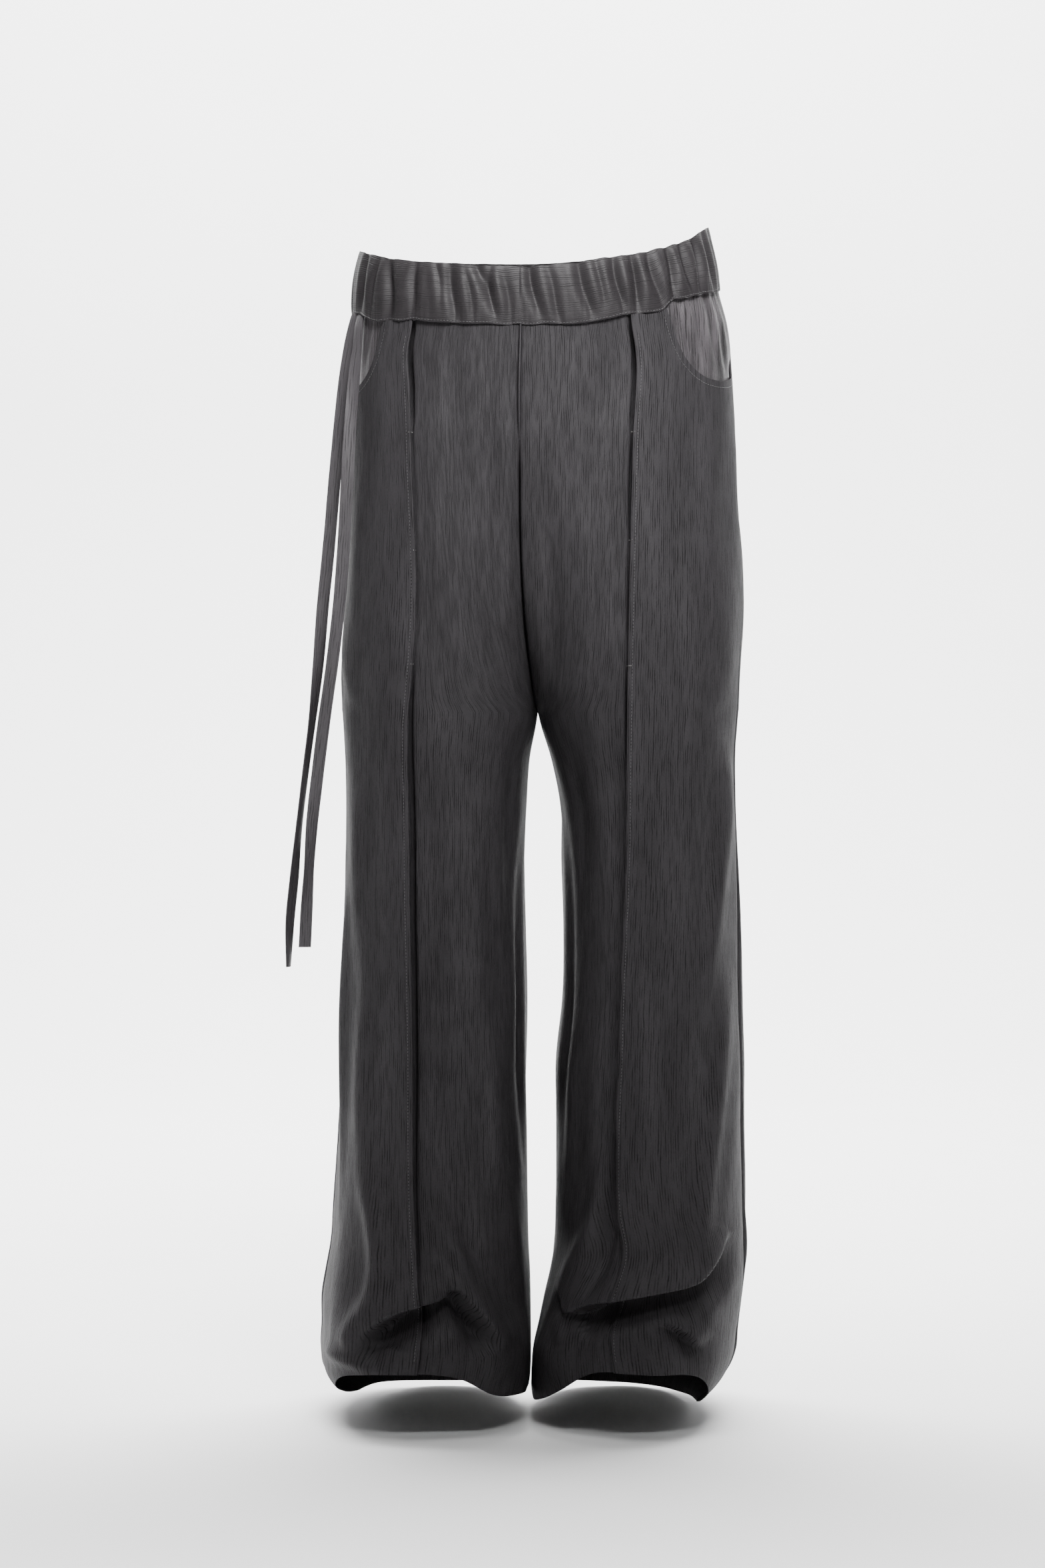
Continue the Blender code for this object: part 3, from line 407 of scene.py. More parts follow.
LEFT_FOLDS = {
    "front": [
        (0.006, -0.19, 0.01, -0.28, 0.018, -0.39, 0.011, -0.005),
        (0.035, -0.06, 0.038, -0.18, 0.045, -0.33, 0.01, 0.0025),
        (0.062, -0.07, 0.064, -0.18, 0.066, -0.32, 0.009, -0.002),
        (0.122, -0.13, 0.126, -0.26, 0.128, -0.4, 0.011, -0.0022),
        (0.16, -0.11, 0.164, -0.24, 0.165, -0.38, 0.011, 0.0022),
        (0.05, -0.4, 0.056, -0.5, 0.056, -0.64, 0.011, 0.004),
        (0.027, -0.42, 0.036, -0.52, 0.034, -0.64, 0.008, -0.004),
        (0.0603, -0.8, 0.046, -0.88, 0.008, -0.96, 0.009, 0.008),
        (0.069, -0.78, 0.061, -0.885, 0.047, -0.938, 0.0075, -0.011),
        (0.035, -0.7, 0.032, -0.8, 0.024, -0.88, 0.009, -0.0045),
        (0.0318, -0.946, 0.0252, -0.963, 0.0276, -0.982, 0.005, 0.005),
        (0.125, -0.56, 0.122, -0.68, 0.116, -0.8, 0.013, -0.004),
        (0.098, -0.6, 0.096, -0.74, 0.098, -0.88, 0.011, 0.0035),
        (0.179, -0.44, 0.17, -0.54, 0.156, -0.66, 0.009, 0.006),
        (0.164, -0.45, 0.156, -0.55, 0.144, -0.66, 0.01, -0.004),
        (0.178, -0.66, 0.16, -0.8, 0.146, -0.905, 0.0095, 0.007),
        (0.164, -0.69, 0.148, -0.81, 0.133, -0.89, 0.011, -0.0045)],
    "outer": [
        (-0.01, -0.15, -0.015, -0.33, -0.008, -0.52, 0.012, -0.003),
        (0.05, -0.28, 0.045, -0.5, 0.052, -0.78, 0.014, -0.005),
        (0.01, -0.52, 0.015, -0.7, 0.005, -0.88, 0.011, 0.005)],
    "inner": [
        (-0.035, -0.52, -0.03, -0.66, -0.035, -0.84, 0.012, -0.005),
        (0.04, -0.48, 0.045, -0.64, 0.04, -0.86, 0.012, 0.005)],
    "back": [
        (0.115, -0.09, 0.11, -0.22, 0.105, -0.42, 0.014, -0.0045),
        (0.035, -0.21, 0.08, -0.33, 0.14, -0.42, 0.012, -0.0055),
        (0.035, -0.24, 0.07, -0.37, 0.12, -0.48, 0.011, 0.004),
        (0.155, -0.46, 0.148, -0.64, 0.154, -0.84, 0.013, -0.006),
        (0.108, -0.43, 0.102, -0.62, 0.107, -0.83, 0.014, 0.0055),
        (0.066, -0.47, 0.062, -0.64, 0.068, -0.82, 0.012, -0.005)],
}

# Breaks, where the cloth bulges out over a trough below it, by face. Each is how far the bulge,
# the trough and the slope after it reach, and how far the bulge sags, then the points of the
# fold's edge from the viewer's left to right: across, z, the bulge and the trough there.
RIGHT_CREASES = {
    "front": [
        (0.018, 0.01, 0.033, 0.0055, (
            (-0.148, -1.008, 0.0, 0.0), (-0.1575, -0.988, 0.004, 0.01), (-0.153, -0.969, 0.006, 0.018),
            (-0.1375, -0.9541, 0.008, 0.023), (-0.12, -0.945, 0.0095, 0.024),
            (-0.1003, -0.9391, 0.01, 0.022), (-0.0865, -0.9361, 0.009, 0.016),
            (-0.0769, -0.9313, 0.006, 0.008), (-0.069, -0.927, 0.0, 0.0))),
        (0.015, 0.01, 0.023, 0.003, (
            (-0.088, -0.902, 0.0, 0.0), (-0.0757, -0.9188, 0.004, 0.007),
            (-0.0655, -0.9295, 0.008, 0.014), (-0.0552, -0.9421, 0.01, 0.019),
            (-0.0456, -0.9559, 0.01, 0.021), (-0.0385, -0.97, 0.0075, 0.018),
            (-0.034, -0.988, 0.0, 0.0)))],
    "outer": [
        (0.018, 0.01, 0.024, 0.0, (
            (0.01, -0.935, 0.0, 0.0), (0.03, -0.93, 0.0, 0.003), (0.06, -0.935, 0.001, 0.005),
            (0.09, -0.96, 0.0, 0.0)))],
    "back": [
        (0.022, 0.014, 0.034, 0.003, (
            (-0.172, -0.905, 0.0, 0.0), (-0.145, -0.922, 0.005, 0.008), (-0.115, -0.935, 0.0065, 0.011),
            (-0.08, -0.945, 0.006, 0.01), (-0.048, -0.965, 0.004, 0.006), (-0.025, -0.99, 0.0, 0.0))),
        (0.018, 0.012, 0.026, 0.002, (
            (-0.145, -0.99, 0.0, 0.0), (-0.115, -0.983, 0.0035, 0.005), (-0.088, -0.986, 0.0035, 0.005),
            (-0.065, -1.0, 0.0, 0.0))),
        (0.018, 0.012, 0.028, 0.002, (
            (-0.095, -0.885, 0.0, 0.0), (-0.068, -0.878, 0.003, 0.005),
            (-0.042, -0.888, 0.0035, 0.0055), (-0.02, -0.91, 0.0, 0.0)))],
}
LEFT_CREASES = {
    "front": [
        (0.017, 0.0095, 0.03, 0.0065, (
            (0.0262, -0.9545, 0.0, 0.0), (0.031, -0.9522, 0.009, 0.008), (0.037, -0.95, 0.012, 0.015),
            (0.0493, -0.9421, 0.013, 0.021), (0.0667, -0.9379, 0.012, 0.024),
            (0.0913, -0.9325, 0.0105, 0.022), (0.1165, -0.9277, 0.0095, 0.019),
            (0.1388, -0.9229, 0.0085, 0.016), (0.1514, -0.9162, 0.007, 0.012),
            (0.1658, -0.9006, 0.005, 0.007), (0.176, -0.8844, 0.0, 0.0))),
        (0.012, 0.008, 0.015, 0.0025, (
            (0.098, -0.9565, 0.0, 0.0), (0.1121, -0.9545, 0.004, 0.004), (0.1235, -0.957, 0.006, 0.008),
            (0.133, -0.962, 0.0065, 0.01), (0.142, -0.971, 0.006, 0.009), (0.15, -0.982, 0.0, 0.0)))],
    "outer": [
        (0.018, 0.01, 0.024, 0.0, (
            (0.015, -0.935, 0.0, 0.0), (0.035, -0.93, 0.0, 0.003), (0.065, -0.935, 0.001, 0.005),
            (0.095, -0.955, 0.0, 0.0)))],
    "back": [
        (0.022, 0.014, 0.034, 0.003, (
            (0.025, -0.915, 0.0, 0.0), (0.05, -0.93, 0.005, 0.008), (0.085, -0.936, 0.0065, 0.011),
            (0.118, -0.948, 0.006, 0.01), (0.148, -0.97, 0.0035, 0.006), (0.17, -0.995, 0.0, 0.0))),
        (0.018, 0.012, 0.028, 0.002, (
            (0.105, -0.89, 0.0, 0.0), (0.13, -0.885, 0.003, 0.005), (0.153, -0.896, 0.003, 0.0045),
            (0.172, -0.915, 0.0, 0.0))),
        (0.016, 0.011, 0.024, 0.002, (
            (0.03, -0.985, 0.0, 0.0), (0.052, -0.979, 0.003, 0.0045), (0.075, -0.985, 0.0025, 0.004),
            (0.095, -1.0, 0.0, 0.0)))],
}

# Rounded swells, by face: the middle across and in z, how wide and tall, and how far out.
RIGHT_SWELLS = {
    "front": [
        (-0.04, -0.988, 0.023, 0.026, 0.011),
        (-0.098, -0.985, 0.03, 0.024, 0.006),
        (-0.175, -0.975, 0.016, 0.02, 0.005)],
    "inner": [
        (-0.07, -1.005, 0.035, 0.045, 0.0068)],
}
LEFT_SWELLS = {
    "front": [
        (0.016, -0.99, 0.02, 0.028, 0.009),
        (0.09, -0.985, 0.035, 0.023, 0.006),
        (0.156, -0.95, 0.012, 0.025, 0.004)],
    "inner": [
        (-0.06, -1.005, 0.04, 0.045, 0.0056)],
}

# Flat ties, down from the waistband: the middle of the strip and how far it is turned.
TIE_COLUMNS = ("z", "x", "y", "turn")
TIE_OUTER = (
    (-0.017, -0.163, -0.033, -66.0),
    (-0.0303, -0.1668, -0.04, -48.0),
    (-0.0484, -0.1712, -0.039, -36.0),
    (-0.0733, -0.1758, -0.038, -30.0),
    (-0.0964, -0.1792, -0.037, -28.0),
    (-0.1307, -0.1828, -0.0365, -24.0),
    (-0.1594, -0.1852, -0.036, -16.0),
    (-0.1949, -0.1882, -0.036, -4.0),
    (-0.2597, -0.194, -0.035, 8.0),
    (-0.3097, -0.1992, -0.033, 16.0),
    (-0.3598, -0.2034, -0.031, 36.0),
    (-0.4099, -0.2087, -0.029, 60.0),
    (-0.46, -0.2154, -0.027, 66.0),
    (-0.5226, -0.2228, -0.025, 64.0),
    (-0.5601, -0.2262, -0.024, 50.0),
    (-0.5977, -0.23, -0.023, 52.0),
    (-0.6415, -0.2317, -0.022, 76.0),
)
TIE_INNER = (
    (-0.019, -0.158, -0.04, -60.0),
    (-0.0416, -0.1635, -0.0525, -52.0),
    (-0.0656, -0.1655, -0.054, -40.0),
    (-0.0882, -0.168, -0.055, -24.0),
    (-0.1166, -0.1702, -0.056, -10.0),
    (-0.1478, -0.1724, -0.0575, 0.0),
    (-0.1973, -0.175, -0.0585, 4.0),
    (-0.2597, -0.1786, -0.0575, 4.0),
    (-0.3097, -0.1828, -0.0565, 0.0),
    (-0.3598, -0.1888, -0.0545, 0.0),
    (-0.4099, -0.1961, -0.052, 0.0),
    (-0.46, -0.2024, -0.05, 4.0),
    (-0.51, -0.2082, -0.048, 26.0),
    (-0.5476, -0.2106, -0.046, 44.0),
    (-0.5852, -0.2128, -0.045, 22.0),
    (-0.622, -0.2148, -0.044, 2.0),
)

# Heights of the bar tacks on each pleat.
TACKS = {"right": (-0.1493, -0.2576, -0.3612), "left": (-0.1493, -0.2485, -0.363)}


def hermite(u, step, start, start_slope, end, end_slope):
    """A smooth curve's value a share u of the way from its start to its end, step on."""
    return ((2 * u**3 - 3 * u**2 + 1) * start + (u**3 - 2 * u**2 + u) * step * start_slope
            + (3 * u**2 - 2 * u**3) * end + (u**3 - u**2) * step * end_slope)


def read(table, names, name, places):
    """A named column of a table, as a smooth curve through its rows."""
    rows = np.array(table, float)
    rows = rows[np.argsort(rows[:, 0])]
    known, values = rows[:, 0], rows[:, names.index(name)]
    slopes = np.gradient(values, known)
    places = np.clip(places, known[0], known[-1])
    i = np.clip(np.searchsorted(known, places) - 1, 0, len(known) - 2)
    step = known[i + 1] - known[i]
    return hermite((places - known[i]) / step, step, values[i], slopes[i], values[i + 1],
                   slopes[i + 1])


def smooth(low, high, value):
    """From 0 at low to 1 at high, with soft ends."""
    u = np.clip((value - low) / (high - low), 0, 1)
    return u * u * (3 - 2 * u)


def half_section(start_x, start_y, outer, depth, samples):
    """The points of one level from a centre seam or inseam round to the side."""
    share = (1 - min(1.0, abs(start_y) / depth) ** ROUND) ** (1 / ROUND)
    middle = (start_x + share * outer) / (1 + share)
    begin = math.pi - math.acos(share ** (ROUND / 2))
    turn = np.linspace(begin, 0, samples)
    across = np.sign(np.cos(turn)) * np.abs(np.cos(turn)) ** (2 / ROUND)
    return middle + (outer - middle) * across, depth * np.abs(np.sin(turn)) ** (2 / ROUND)


def make_skin(leg, lines, side):
    """The skin of one leg by height and way round, with where its pleat runs."""
    heights = np.arange(SKIN_TOP, SKIN_END, -SKIN_STEP)
    round_places = np.linspace(0, 2, SKIN_COLUMNS + 1)
    points, lengths, pleat = [], [], []
    for z in heights:
        inner, outer, front, back = (float(read(leg, LEG_COLUMNS, n, z)) for n in LEG_COLUMNS[1:])
        half = SECTION_POINTS
        if z > CROTCH:
            fx, fy, bx, by = (float(read(SEAT, SEAT_COLUMNS, n, z)) for n in SEAT_COLUMNS[1:])
            lap, lap_back = (2 * SEAM_LAP * math.sqrt(max(0.0, 1 - (y / deep) ** 2)) - SEAM_LAP
                             for y, deep in ((fy, front), (by, back)))
        else:
            fx = bx = inner
            fy = by = lap = lap_back = 0.0
        xf, yf = half_section(fx + side * lap, fy, outer, -front, half)
        xb, yb = half_section(bx + side * lap_back, by, outer, back, half)
        x = np.concatenate([xf, xb[::-1][1:]])
        y = np.concatenate([-yf, yb[::-1][1:]])
        along = np.concatenate([[0], np.cumsum(np.hypot(np.diff(x), np.diff(y)))])
        first, last = int(np.argmin(y)), int(np.argmax(y))
        seam_y = float(read(lines, LINE_COLUMNS, "seam_y", z))
        seam = float(np.interp(seam_y, y[first:last], along[first:last]))
        pleat_x = float(read(lines, LINE_COLUMNS, "pleat_x", z))
        pleat.append(float(np.interp(side * pleat_x, side * x[:half], along[:half])) / seam)
        wanted = np.where(round_places <= 1, round_places * seam,
                          seam + (round_places - 1) * (along[-1] - seam))
        points.append(np.stack([np.interp(wanted, along, x), np.interp(wanted, along, y)], 1))
        lengths.append((seam, along[-1] - seam))
    return {"side": side, "heights": heights, "points": np.array(points),
            "lengths": np.array(lengths), "pleat": np.array(pleat)}


def level_of(skin, z):
    """The skin's row above a height, and how far down it lies to the next one."""
    place = np.clip((skin["heights"][0] - z) / SKIN_STEP, 0, len(skin["heights"]) - 1.001)
    row = place.astype(int)
    return row, place - row


def between(skin, values, z):
    """Rows of a skin's values at any height."""
    row, share = level_of(skin, z)
    share = share.reshape(share.shape + (1,) * (values.ndim - 1))
    return values[row] * (1 - share) + values[row + 1] * share


def round_leg(skin, z):
    """Metres round the skin's front and back at each height."""
    long = between(skin, skin["lengths"], z)
    return long[..., 0], long[..., 1]


def pleat_place(skin, z):
    """Where the pleat's edge lies on the front, as a share, and metres round the front."""
    return between(skin, skin["pleat"], z), round_leg(skin, z)[0]


def on_skin(skin, places, z):
    """Points at ways round and heights, and the outward direction there."""
    z = np.broadcast_to(z, places.shape)
    grid = skin["points"]
    row, down = level_of(skin, z)
    down = down[..., None]

    def at(column):
        column = np.clip(column, 0, SKIN_COLUMNS - 0.001)
        first = column.astype(int)
        share = (column - first)[..., None]
        upper = grid[row, first] * (1 - share) + grid[row, first + 1] * share
        lower = grid[row + 1, first] * (1 - share) + grid[row + 1, first + 1] * share
        return upper * (1 - down) + lower * down

    column = places / 2 * SKIN_COLUMNS
    point = at(column)
    way = at(column + 2.5) - at(column - 2.5)
    way = way / np.maximum(np.linalg.norm(way, axis=-1, keepdims=True), 1e-9)
    out = np.stack([-way[..., 1], way[..., 0]], -1) * -skin["side"]
    return np.concatenate([point, z[..., None]], -1), out


def curve(rows, count):
    """Evenly counted points of a smooth line through rows of numbers."""
    rows = np.array(rows, float)
    slopes = np.gradient(rows, axis=0)
    at = np.linspace(0, len(rows) - 1, count)
    i = np.minimum(at.astype(int), len(rows) - 2)
    return hermite((at - i)[:, None], 1.0, rows[i], slopes[i], rows[i + 1], slopes[i + 1])


def seen_on(face, point, out):
    """Where points lie across a face seen square on, and how squarely the cloth turns to it."""
    outer_way = np.sign(point[..., 0].mean())
    turned = {"front": -out[..., 1], "back": out[..., 1], "outer": out[..., 0] * outer_way,
              "inner": -out[..., 0] * outer_way}[face]
    across = point[..., 0] if face in ("front", "back") else point[..., 1]
    return across, smooth(0.05, 0.45, turned)


def nearest(line, reach, across, z, turned):
    """Which points are within reach of a line, how far off, how far along it, and if above it."""
    low, high = line[:, :2].min(0) - reach, line[:, :2].max(0) + reach
    mask = (across > low[0]) & (across < high[0]) & (z > low[1]) & (z < high[1]) & (turned > 0)
    way = np.diff(line[:, :2], axis=0)
    dx = across[mask][:, None] - line[:-1, 0]
    dz = z[mask][:, None] - line[:-1, 1]
    share = np.clip((dx * way[:, 0] + dz * way[:, 1]) / (way**2).sum(1), 0, 1)
    dx, dz = dx - share * way[:, 0], dz - share * way[:, 1]
    pick = np.hypot(dx, dz).argmin(1)
    row = np.arange(len(pick))
    above = way[pick, 0] * dz[row, pick] - way[pick, 1] * dx[row, pick] > 0
    return mask, np.hypot(dx, dz)[row, pick], pick + share[row, pick], above


def fold_moves(folds, point, out):
    """How far soft folds push points outward."""
    push = np.zeros(point.shape[:-1])
    for face, rows in folds.items():
        across, turned = seen_on(face, point, out)
        for *places, width, depth in rows:
            line = curve(np.reshape(places, (3, 2)), LINE_POINTS)
            mask, far, place, _ = nearest(line, 3 * width, across, point[..., 2], turned)
            ends = np.sin(np.pi * np.clip(place / (LINE_POINTS - 1), 0.02, 0.98)) ** 0.6
            push[mask] += depth * (np.exp(-((far / width) ** 2)) * ends * turned[mask])
    return push


def crease_moves(creases, point, out):
    """How far breaks push points outward and down."""
    push, drop = np.zeros(point.shape[:-1]), np.zeros(point.shape[:-1])
    for face, rows in creases.items():
        across, turned = seen_on(face, point, out)
        for bulge_reach, trough_reach, slope_reach, sag, edge in rows:
            line = curve(edge, EDGE_POINTS)
            line[:, 1] += sag
            reach = max(3 * bulge_reach, trough_reach + slope_reach)
            mask, far, place, above = nearest(line, reach, across, point[..., 2], turned)
            bulge, trough = (np.interp(place, np.arange(EDGE_POINTS), line[:, k]) for k in (2, 3))
            over = np.exp(-((far / bulge_reach) ** 2))
            into = smooth(0, trough_reach, far)
            away = smooth(trough_reach, trough_reach + slope_reach, far)
            under = (bulge * (1 - into) - trough * into) * (1 - away)
            push[mask] += np.where(above, bulge * over, under) * turned[mask]
            hang = np.where(above, over, 1 - smooth(0, 0.8 * trough_reach, far))
            drop[mask] -= sag * np.clip(bulge / 0.008, 0, 1) * hang * turned[mask]
    return push, drop


def swell_moves(swells, point, out):
    """How far rounded swells push points outward."""
    push = np.zeros(point.shape[:-1])
    for face, rows in swells.items():
        across, turned = seen_on(face, point, out)
        for middle, height, wide, tall, far in rows:
            apart = ((across - middle) / wide) ** 2 + ((point[..., 2] - height) / tall) ** 2
            push += far * np.exp(-apart) * turned
    return push


def drape(skin, places, z):
    """Slow unevenness of hanging cloth, outward, different on each leg."""
    front, back = round_leg(skin, z)
    way = np.where(places <= 1, places * front, front + (places - 1) * back)
    lead = 1.7 * skin["side"]
    slow = np.sin(way * 61 + 5.0 * np.sin(z * 5.1 + lead) + lead)
    small = np.sin(way * 118 + 4.0 * np.sin(z * 9.7 - lead) + 2.0 * lead)
    wide = np.sin(z * 23 + 3.0 * np.sin(way * 19 + lead))
    inside = smooth(0, 0.025, np.minimum(way, front + back - way))
    return DRAPE_DEPTH * inside * (0.5 * slow + 0.3 * small + 0.4 * wide)


def seam_dips(skin, places, z):
    """How far seams move the cloth: outward, and straight in along Y at the centre seams."""
    front, back = round_leg(skin, z)
    own_side = ("right" if skin["side"] < 0 else "left") + "_side"
    middle, side, ridge, fold, half = (read(SEAMS, SEAM_COLUMNS, name, z) for name in
                                       ("middle", own_side, "ridge", "fold", "fold_half"))
    far_middle = np.where(places < 1, places * front, (2 - places) * back)
    far_side = np.where(places < 1, (1 - places) * front, (places - 1) * back)
    wide = SEAM_WIDTH * (1 + side / 0.003)
    behind = np.where(places > 1, np.exp(-(((far_side - 0.006) / 0.004) ** 2)), 0.0)
    draw = middle * np.exp(-((far_middle / SEAM_WIDTH) ** 2))
    centre = smooth(CROTCH, CROTCH + 0.03, z)
    outward = ridge * behind - side * np.exp(-((far_side / wide) ** 2)) - draw * (1 - centre)
    deep = fold * (places < 1) * (1 - smooth(0, half, far_middle))
    return outward, centre * (draw + deep)


def lay(skin, folds, places, z, level):
    """Points of a sheet on the skin, level metres out from it, with its folds, if any."""
    point, out = on_skin(skin, places, z)
    soft, creases, swells = folds or ({}, {}, {})
    if folds:
        outward, inward = seam_dips(skin, places, z)
        level = level + outward
        point[..., 1] += np.where(places < 1, inward, -inward)
    push = fold_moves(soft, point, out)
    more, drop = crease_moves(creases, point, out)
    push += more + swell_moves(swells, point, out)
    push += drape(skin, places, z) * smooth(-0.05, -0.16, z)
    point[..., :2] += out * (level + push)[..., None]
    point[..., 2] += drop
    return point


def panel_rows(tops, hems):
    """Heights of a leg panel's rows in each column, level but for the top and the hem."""
    rows = [tops + (TOP_ROWS_END - tops) * f for f in TOP_ROWS]
    rows += [np.full(len(tops), z) for z in MIDDLE_ROWS]
    for k in range(1, HEM_ROWS + 1):
        rows.append(LEVEL_HEM_STARTS + (hems - LEVEL_HEM_STARTS) * k / HEM_ROWS)
    return np.array(rows)


def band_edge(places, side_name, edge):
    """Height of the waistband's edge, a little scalloped where the seam is drawn up."""
    height = read(BAND_EDGES, EDGE_COLUMNS, side_name + "_" + edge, places)
    if edge == "bottom":
        lead = 1.3 if side_name == "right" else 2.6
        height = height + 0.0007 * np.sin(places * 34 + lead + 2 * np.sin(places * 13))
    return height


def panel_top(places, side_name):
    """Height of a panel's top, just below the waistband."""
    return band_edge(places, side_name, "bottom") - SEAM_GAP


def pleat_columns():
    """Each column: its part, its share of that part, metres from the pleat's edge, steps below the
    side part, and how far across the cut cloth it lies past the part's start."""
    half = 0.5 * PLEAT_STEP
    arc = math.pi * half / 2
    whole = 2 * PLEAT_UNDERLAY + 2 * arc
    columns = [("centre", f, 0.0, 2.0, 0.0) for f in CENTRE_COLUMNS]
    for f in np.linspace(0.12, 1, 8):
        columns.append(("edge", 0.0, PLEAT_UNDERLAY * f, 2.0, PLEAT_UNDERLAY * f))
    for turn in np.linspace(20, 160, 8):
        reach = PLEAT_UNDERLAY + half * 0.5 * math.sin(math.radians(turn))
        columns.append(("edge", 0.0, reach, 1.5 + 0.5 * math.cos(math.radians(turn)),
                        PLEAT_UNDERLAY + arc * turn / 180))
    for f in np.linspace(1, 0.1, 7):
        columns.append(("edge", 0.0, PLEAT_UNDERLAY * f, 1.0, PLEAT_UNDERLAY * (2 - f) + arc))
    for turn in np.linspace(20, 160, 9):
        reach = half * (1 - 0.9 * math.sin(math.radians(turn)))
        columns.append(("edge", 0.0, reach, 0.5 + 0.5 * math.cos(math.radians(turn)),
                        2 * PLEAT_UNDERLAY + arc * (1 + turn / 180)))
    columns.append(("edge", 0.0, half, 0.0, whole))
    return columns + [("side", f, 0.0, 0.0, whole) for f in SIDE_COLUMNS]


def front_places(skin, columns, z, side_name):
    """Ways round, heights and levels of a front panel's columns at these heights."""
    pleat, long = pleat_place(skin, z)
    step, fall, slit = (read(PLEAT_OPENING, PLEAT_COLUMNS, name, z)
                        for name in ("step", "fall", side_name + "_slit"))
    places, levels = np.zeros(z.shape), np.zeros(z.shape)
    trim = SEAM_GAP / 2 / long
    for i, (part, share, reach, below, _) in enumerate(columns):
        if part == "centre":
            places[:, i] = pleat[:, i] * share
            far = (1 - share) * pleat[:, i] * long[:, i]
            under = 2 * step[:, i] * smooth(0.0, 0.75, share)
            levels[:, i] = -(under + fall[:, i] * np.exp(-((far / FALL_WIDTH) ** 2))
                             + slit[:, i] * (1 - smooth(0, SLIT_WIDTH, far)))
        elif part == "edge":
            places[:, i] = pleat[:, i] + reach / long[:, i]
            deeper = (fall[:, i] + slit[:, i]) * smooth(1.0, 2.0, below)
            levels[:, i] = -(step[:, i] * below + deeper)
        else:
            places[:, i] = pleat[:, i] + (1 - trim[:, i] - pleat[:, i]) * share
    below_crotch = z[:, 0] < CROTCH
    places[below_crotch, 0] = trim[below_crotch, 0]
    return places, z, levels


def scoop_height(side_name, share):
    """Height of the scoop's edge at a share of the way from the pleat to the side seam."""
    return read(SCOOP, SCOOP_COLUMNS, side_name + "_z", share)


def front_panel(skin, folds, side_name):
    """A front leg panel's sheet of points and its place on the cut cloth."""
    columns = pleat_columns()

    def ways(level):
        return front_places(skin, columns, np.full((1, len(columns)), level), side_name)[0][0]

    tops = panel_top(ways(SCOOP_LEVEL), side_name)
    for i, (part, share, _, _, _) in enumerate(columns):
        if part == "side" and share > SCOOP[0][0] - 0.01:
            tops[i] = min(tops[i], scoop_height(side_name, share))
    hems = read(HEM, HEM_COLUMNS, side_name + "_z", ways(HEM_LEVEL))
    z = panel_rows(tops, hems)
    points = lay(skin, folds, *front_places(skin, columns, z, side_name))
    across = ways(KNEE) * round_leg(skin, np.array(KNEE))[0]
    across += np.array([0.0 if part == "centre" else past for part, _, _, _, past in columns])
    return points, across


def back_panel(skin, folds, side_name):
    """A back leg panel's sheet of points and its place on the cut cloth."""
    places = 1 + BACK_COLUMNS
    z = panel_rows(panel_top(places, side_name),
                   read(HEM, HEM_COLUMNS, side_name + "_z", places))
    across = (places - 1) * round_leg(skin, np.array(KNEE))[1]
    places = np.repeat(places[None], len(z), 0)
    trim = SEAM_GAP / 2 / round_leg(skin, z)[1]
    places[:, 0] += trim[:, 0]
    below_crotch = z[:, -1] < CROTCH
    places[below_crotch, -1] -= trim[below_crotch, -1]
    return lay(skin, folds, places, z, np.zeros(z.shape)), across


def pocket_facing(skin, side_name):
    """The facing behind the scoop, below the front panel but level with it at the side seam."""
    shares = FACING_COLUMNS[None]

    def ways(z):
        pleat, long = pleat_place(skin, z)
        begin = pleat + (PLEAT_UNDERLAY + FACING_TUCK) / long
        return begin + (1 - SEAM_GAP / 2 / long - begin) * shares

    tops = panel_top(ways(np.full(shares.shape, FACING_LEVEL))[0], side_name)
    z = tops[None] + (FACING_BOTTOM - tops[None]) * FACING_ROWS[:, None]
    rise = smooth(0.78, 1.0, shares) * smooth(FACING_JOINS_SEAM - 0.025, FACING_JOINS_SEAM, z)
    sag = FACING_SAG * np.sin(np.pi * shares) * smooth(-0.03, -0.07, z)
    high = smooth(-0.115, -0.045, z)
    sag = sag + FACING_PUCKER * high * (1 + np.sin(shares * 38 + 60 * z + skin["side"]))
    points = lay(skin, (), ways(z), z, -(FACING_DROP + sag) * (1 - rise))
    return points, FACING_COLUMNS * FACING_WIDTH


def back_gathers(seed):
    """Gathers of the waistband's back half, unevenly spaced as the front's are."""
    chance = np.random.default_rng(seed)
    rows = []
    for k in range(BACK_GATHERS):
        top = 1.04 + 0.92 * (k + chance.uniform(0.25, 0.75)) / BACK_GATHERS
        rows.append((top, top + chance.uniform(-0.03, 0.03), chance.uniform(0.5, 1.0),
                     chance.uniform(0.3, 1.0), chance.uniform(0.0035, 0.005)))
    return rows


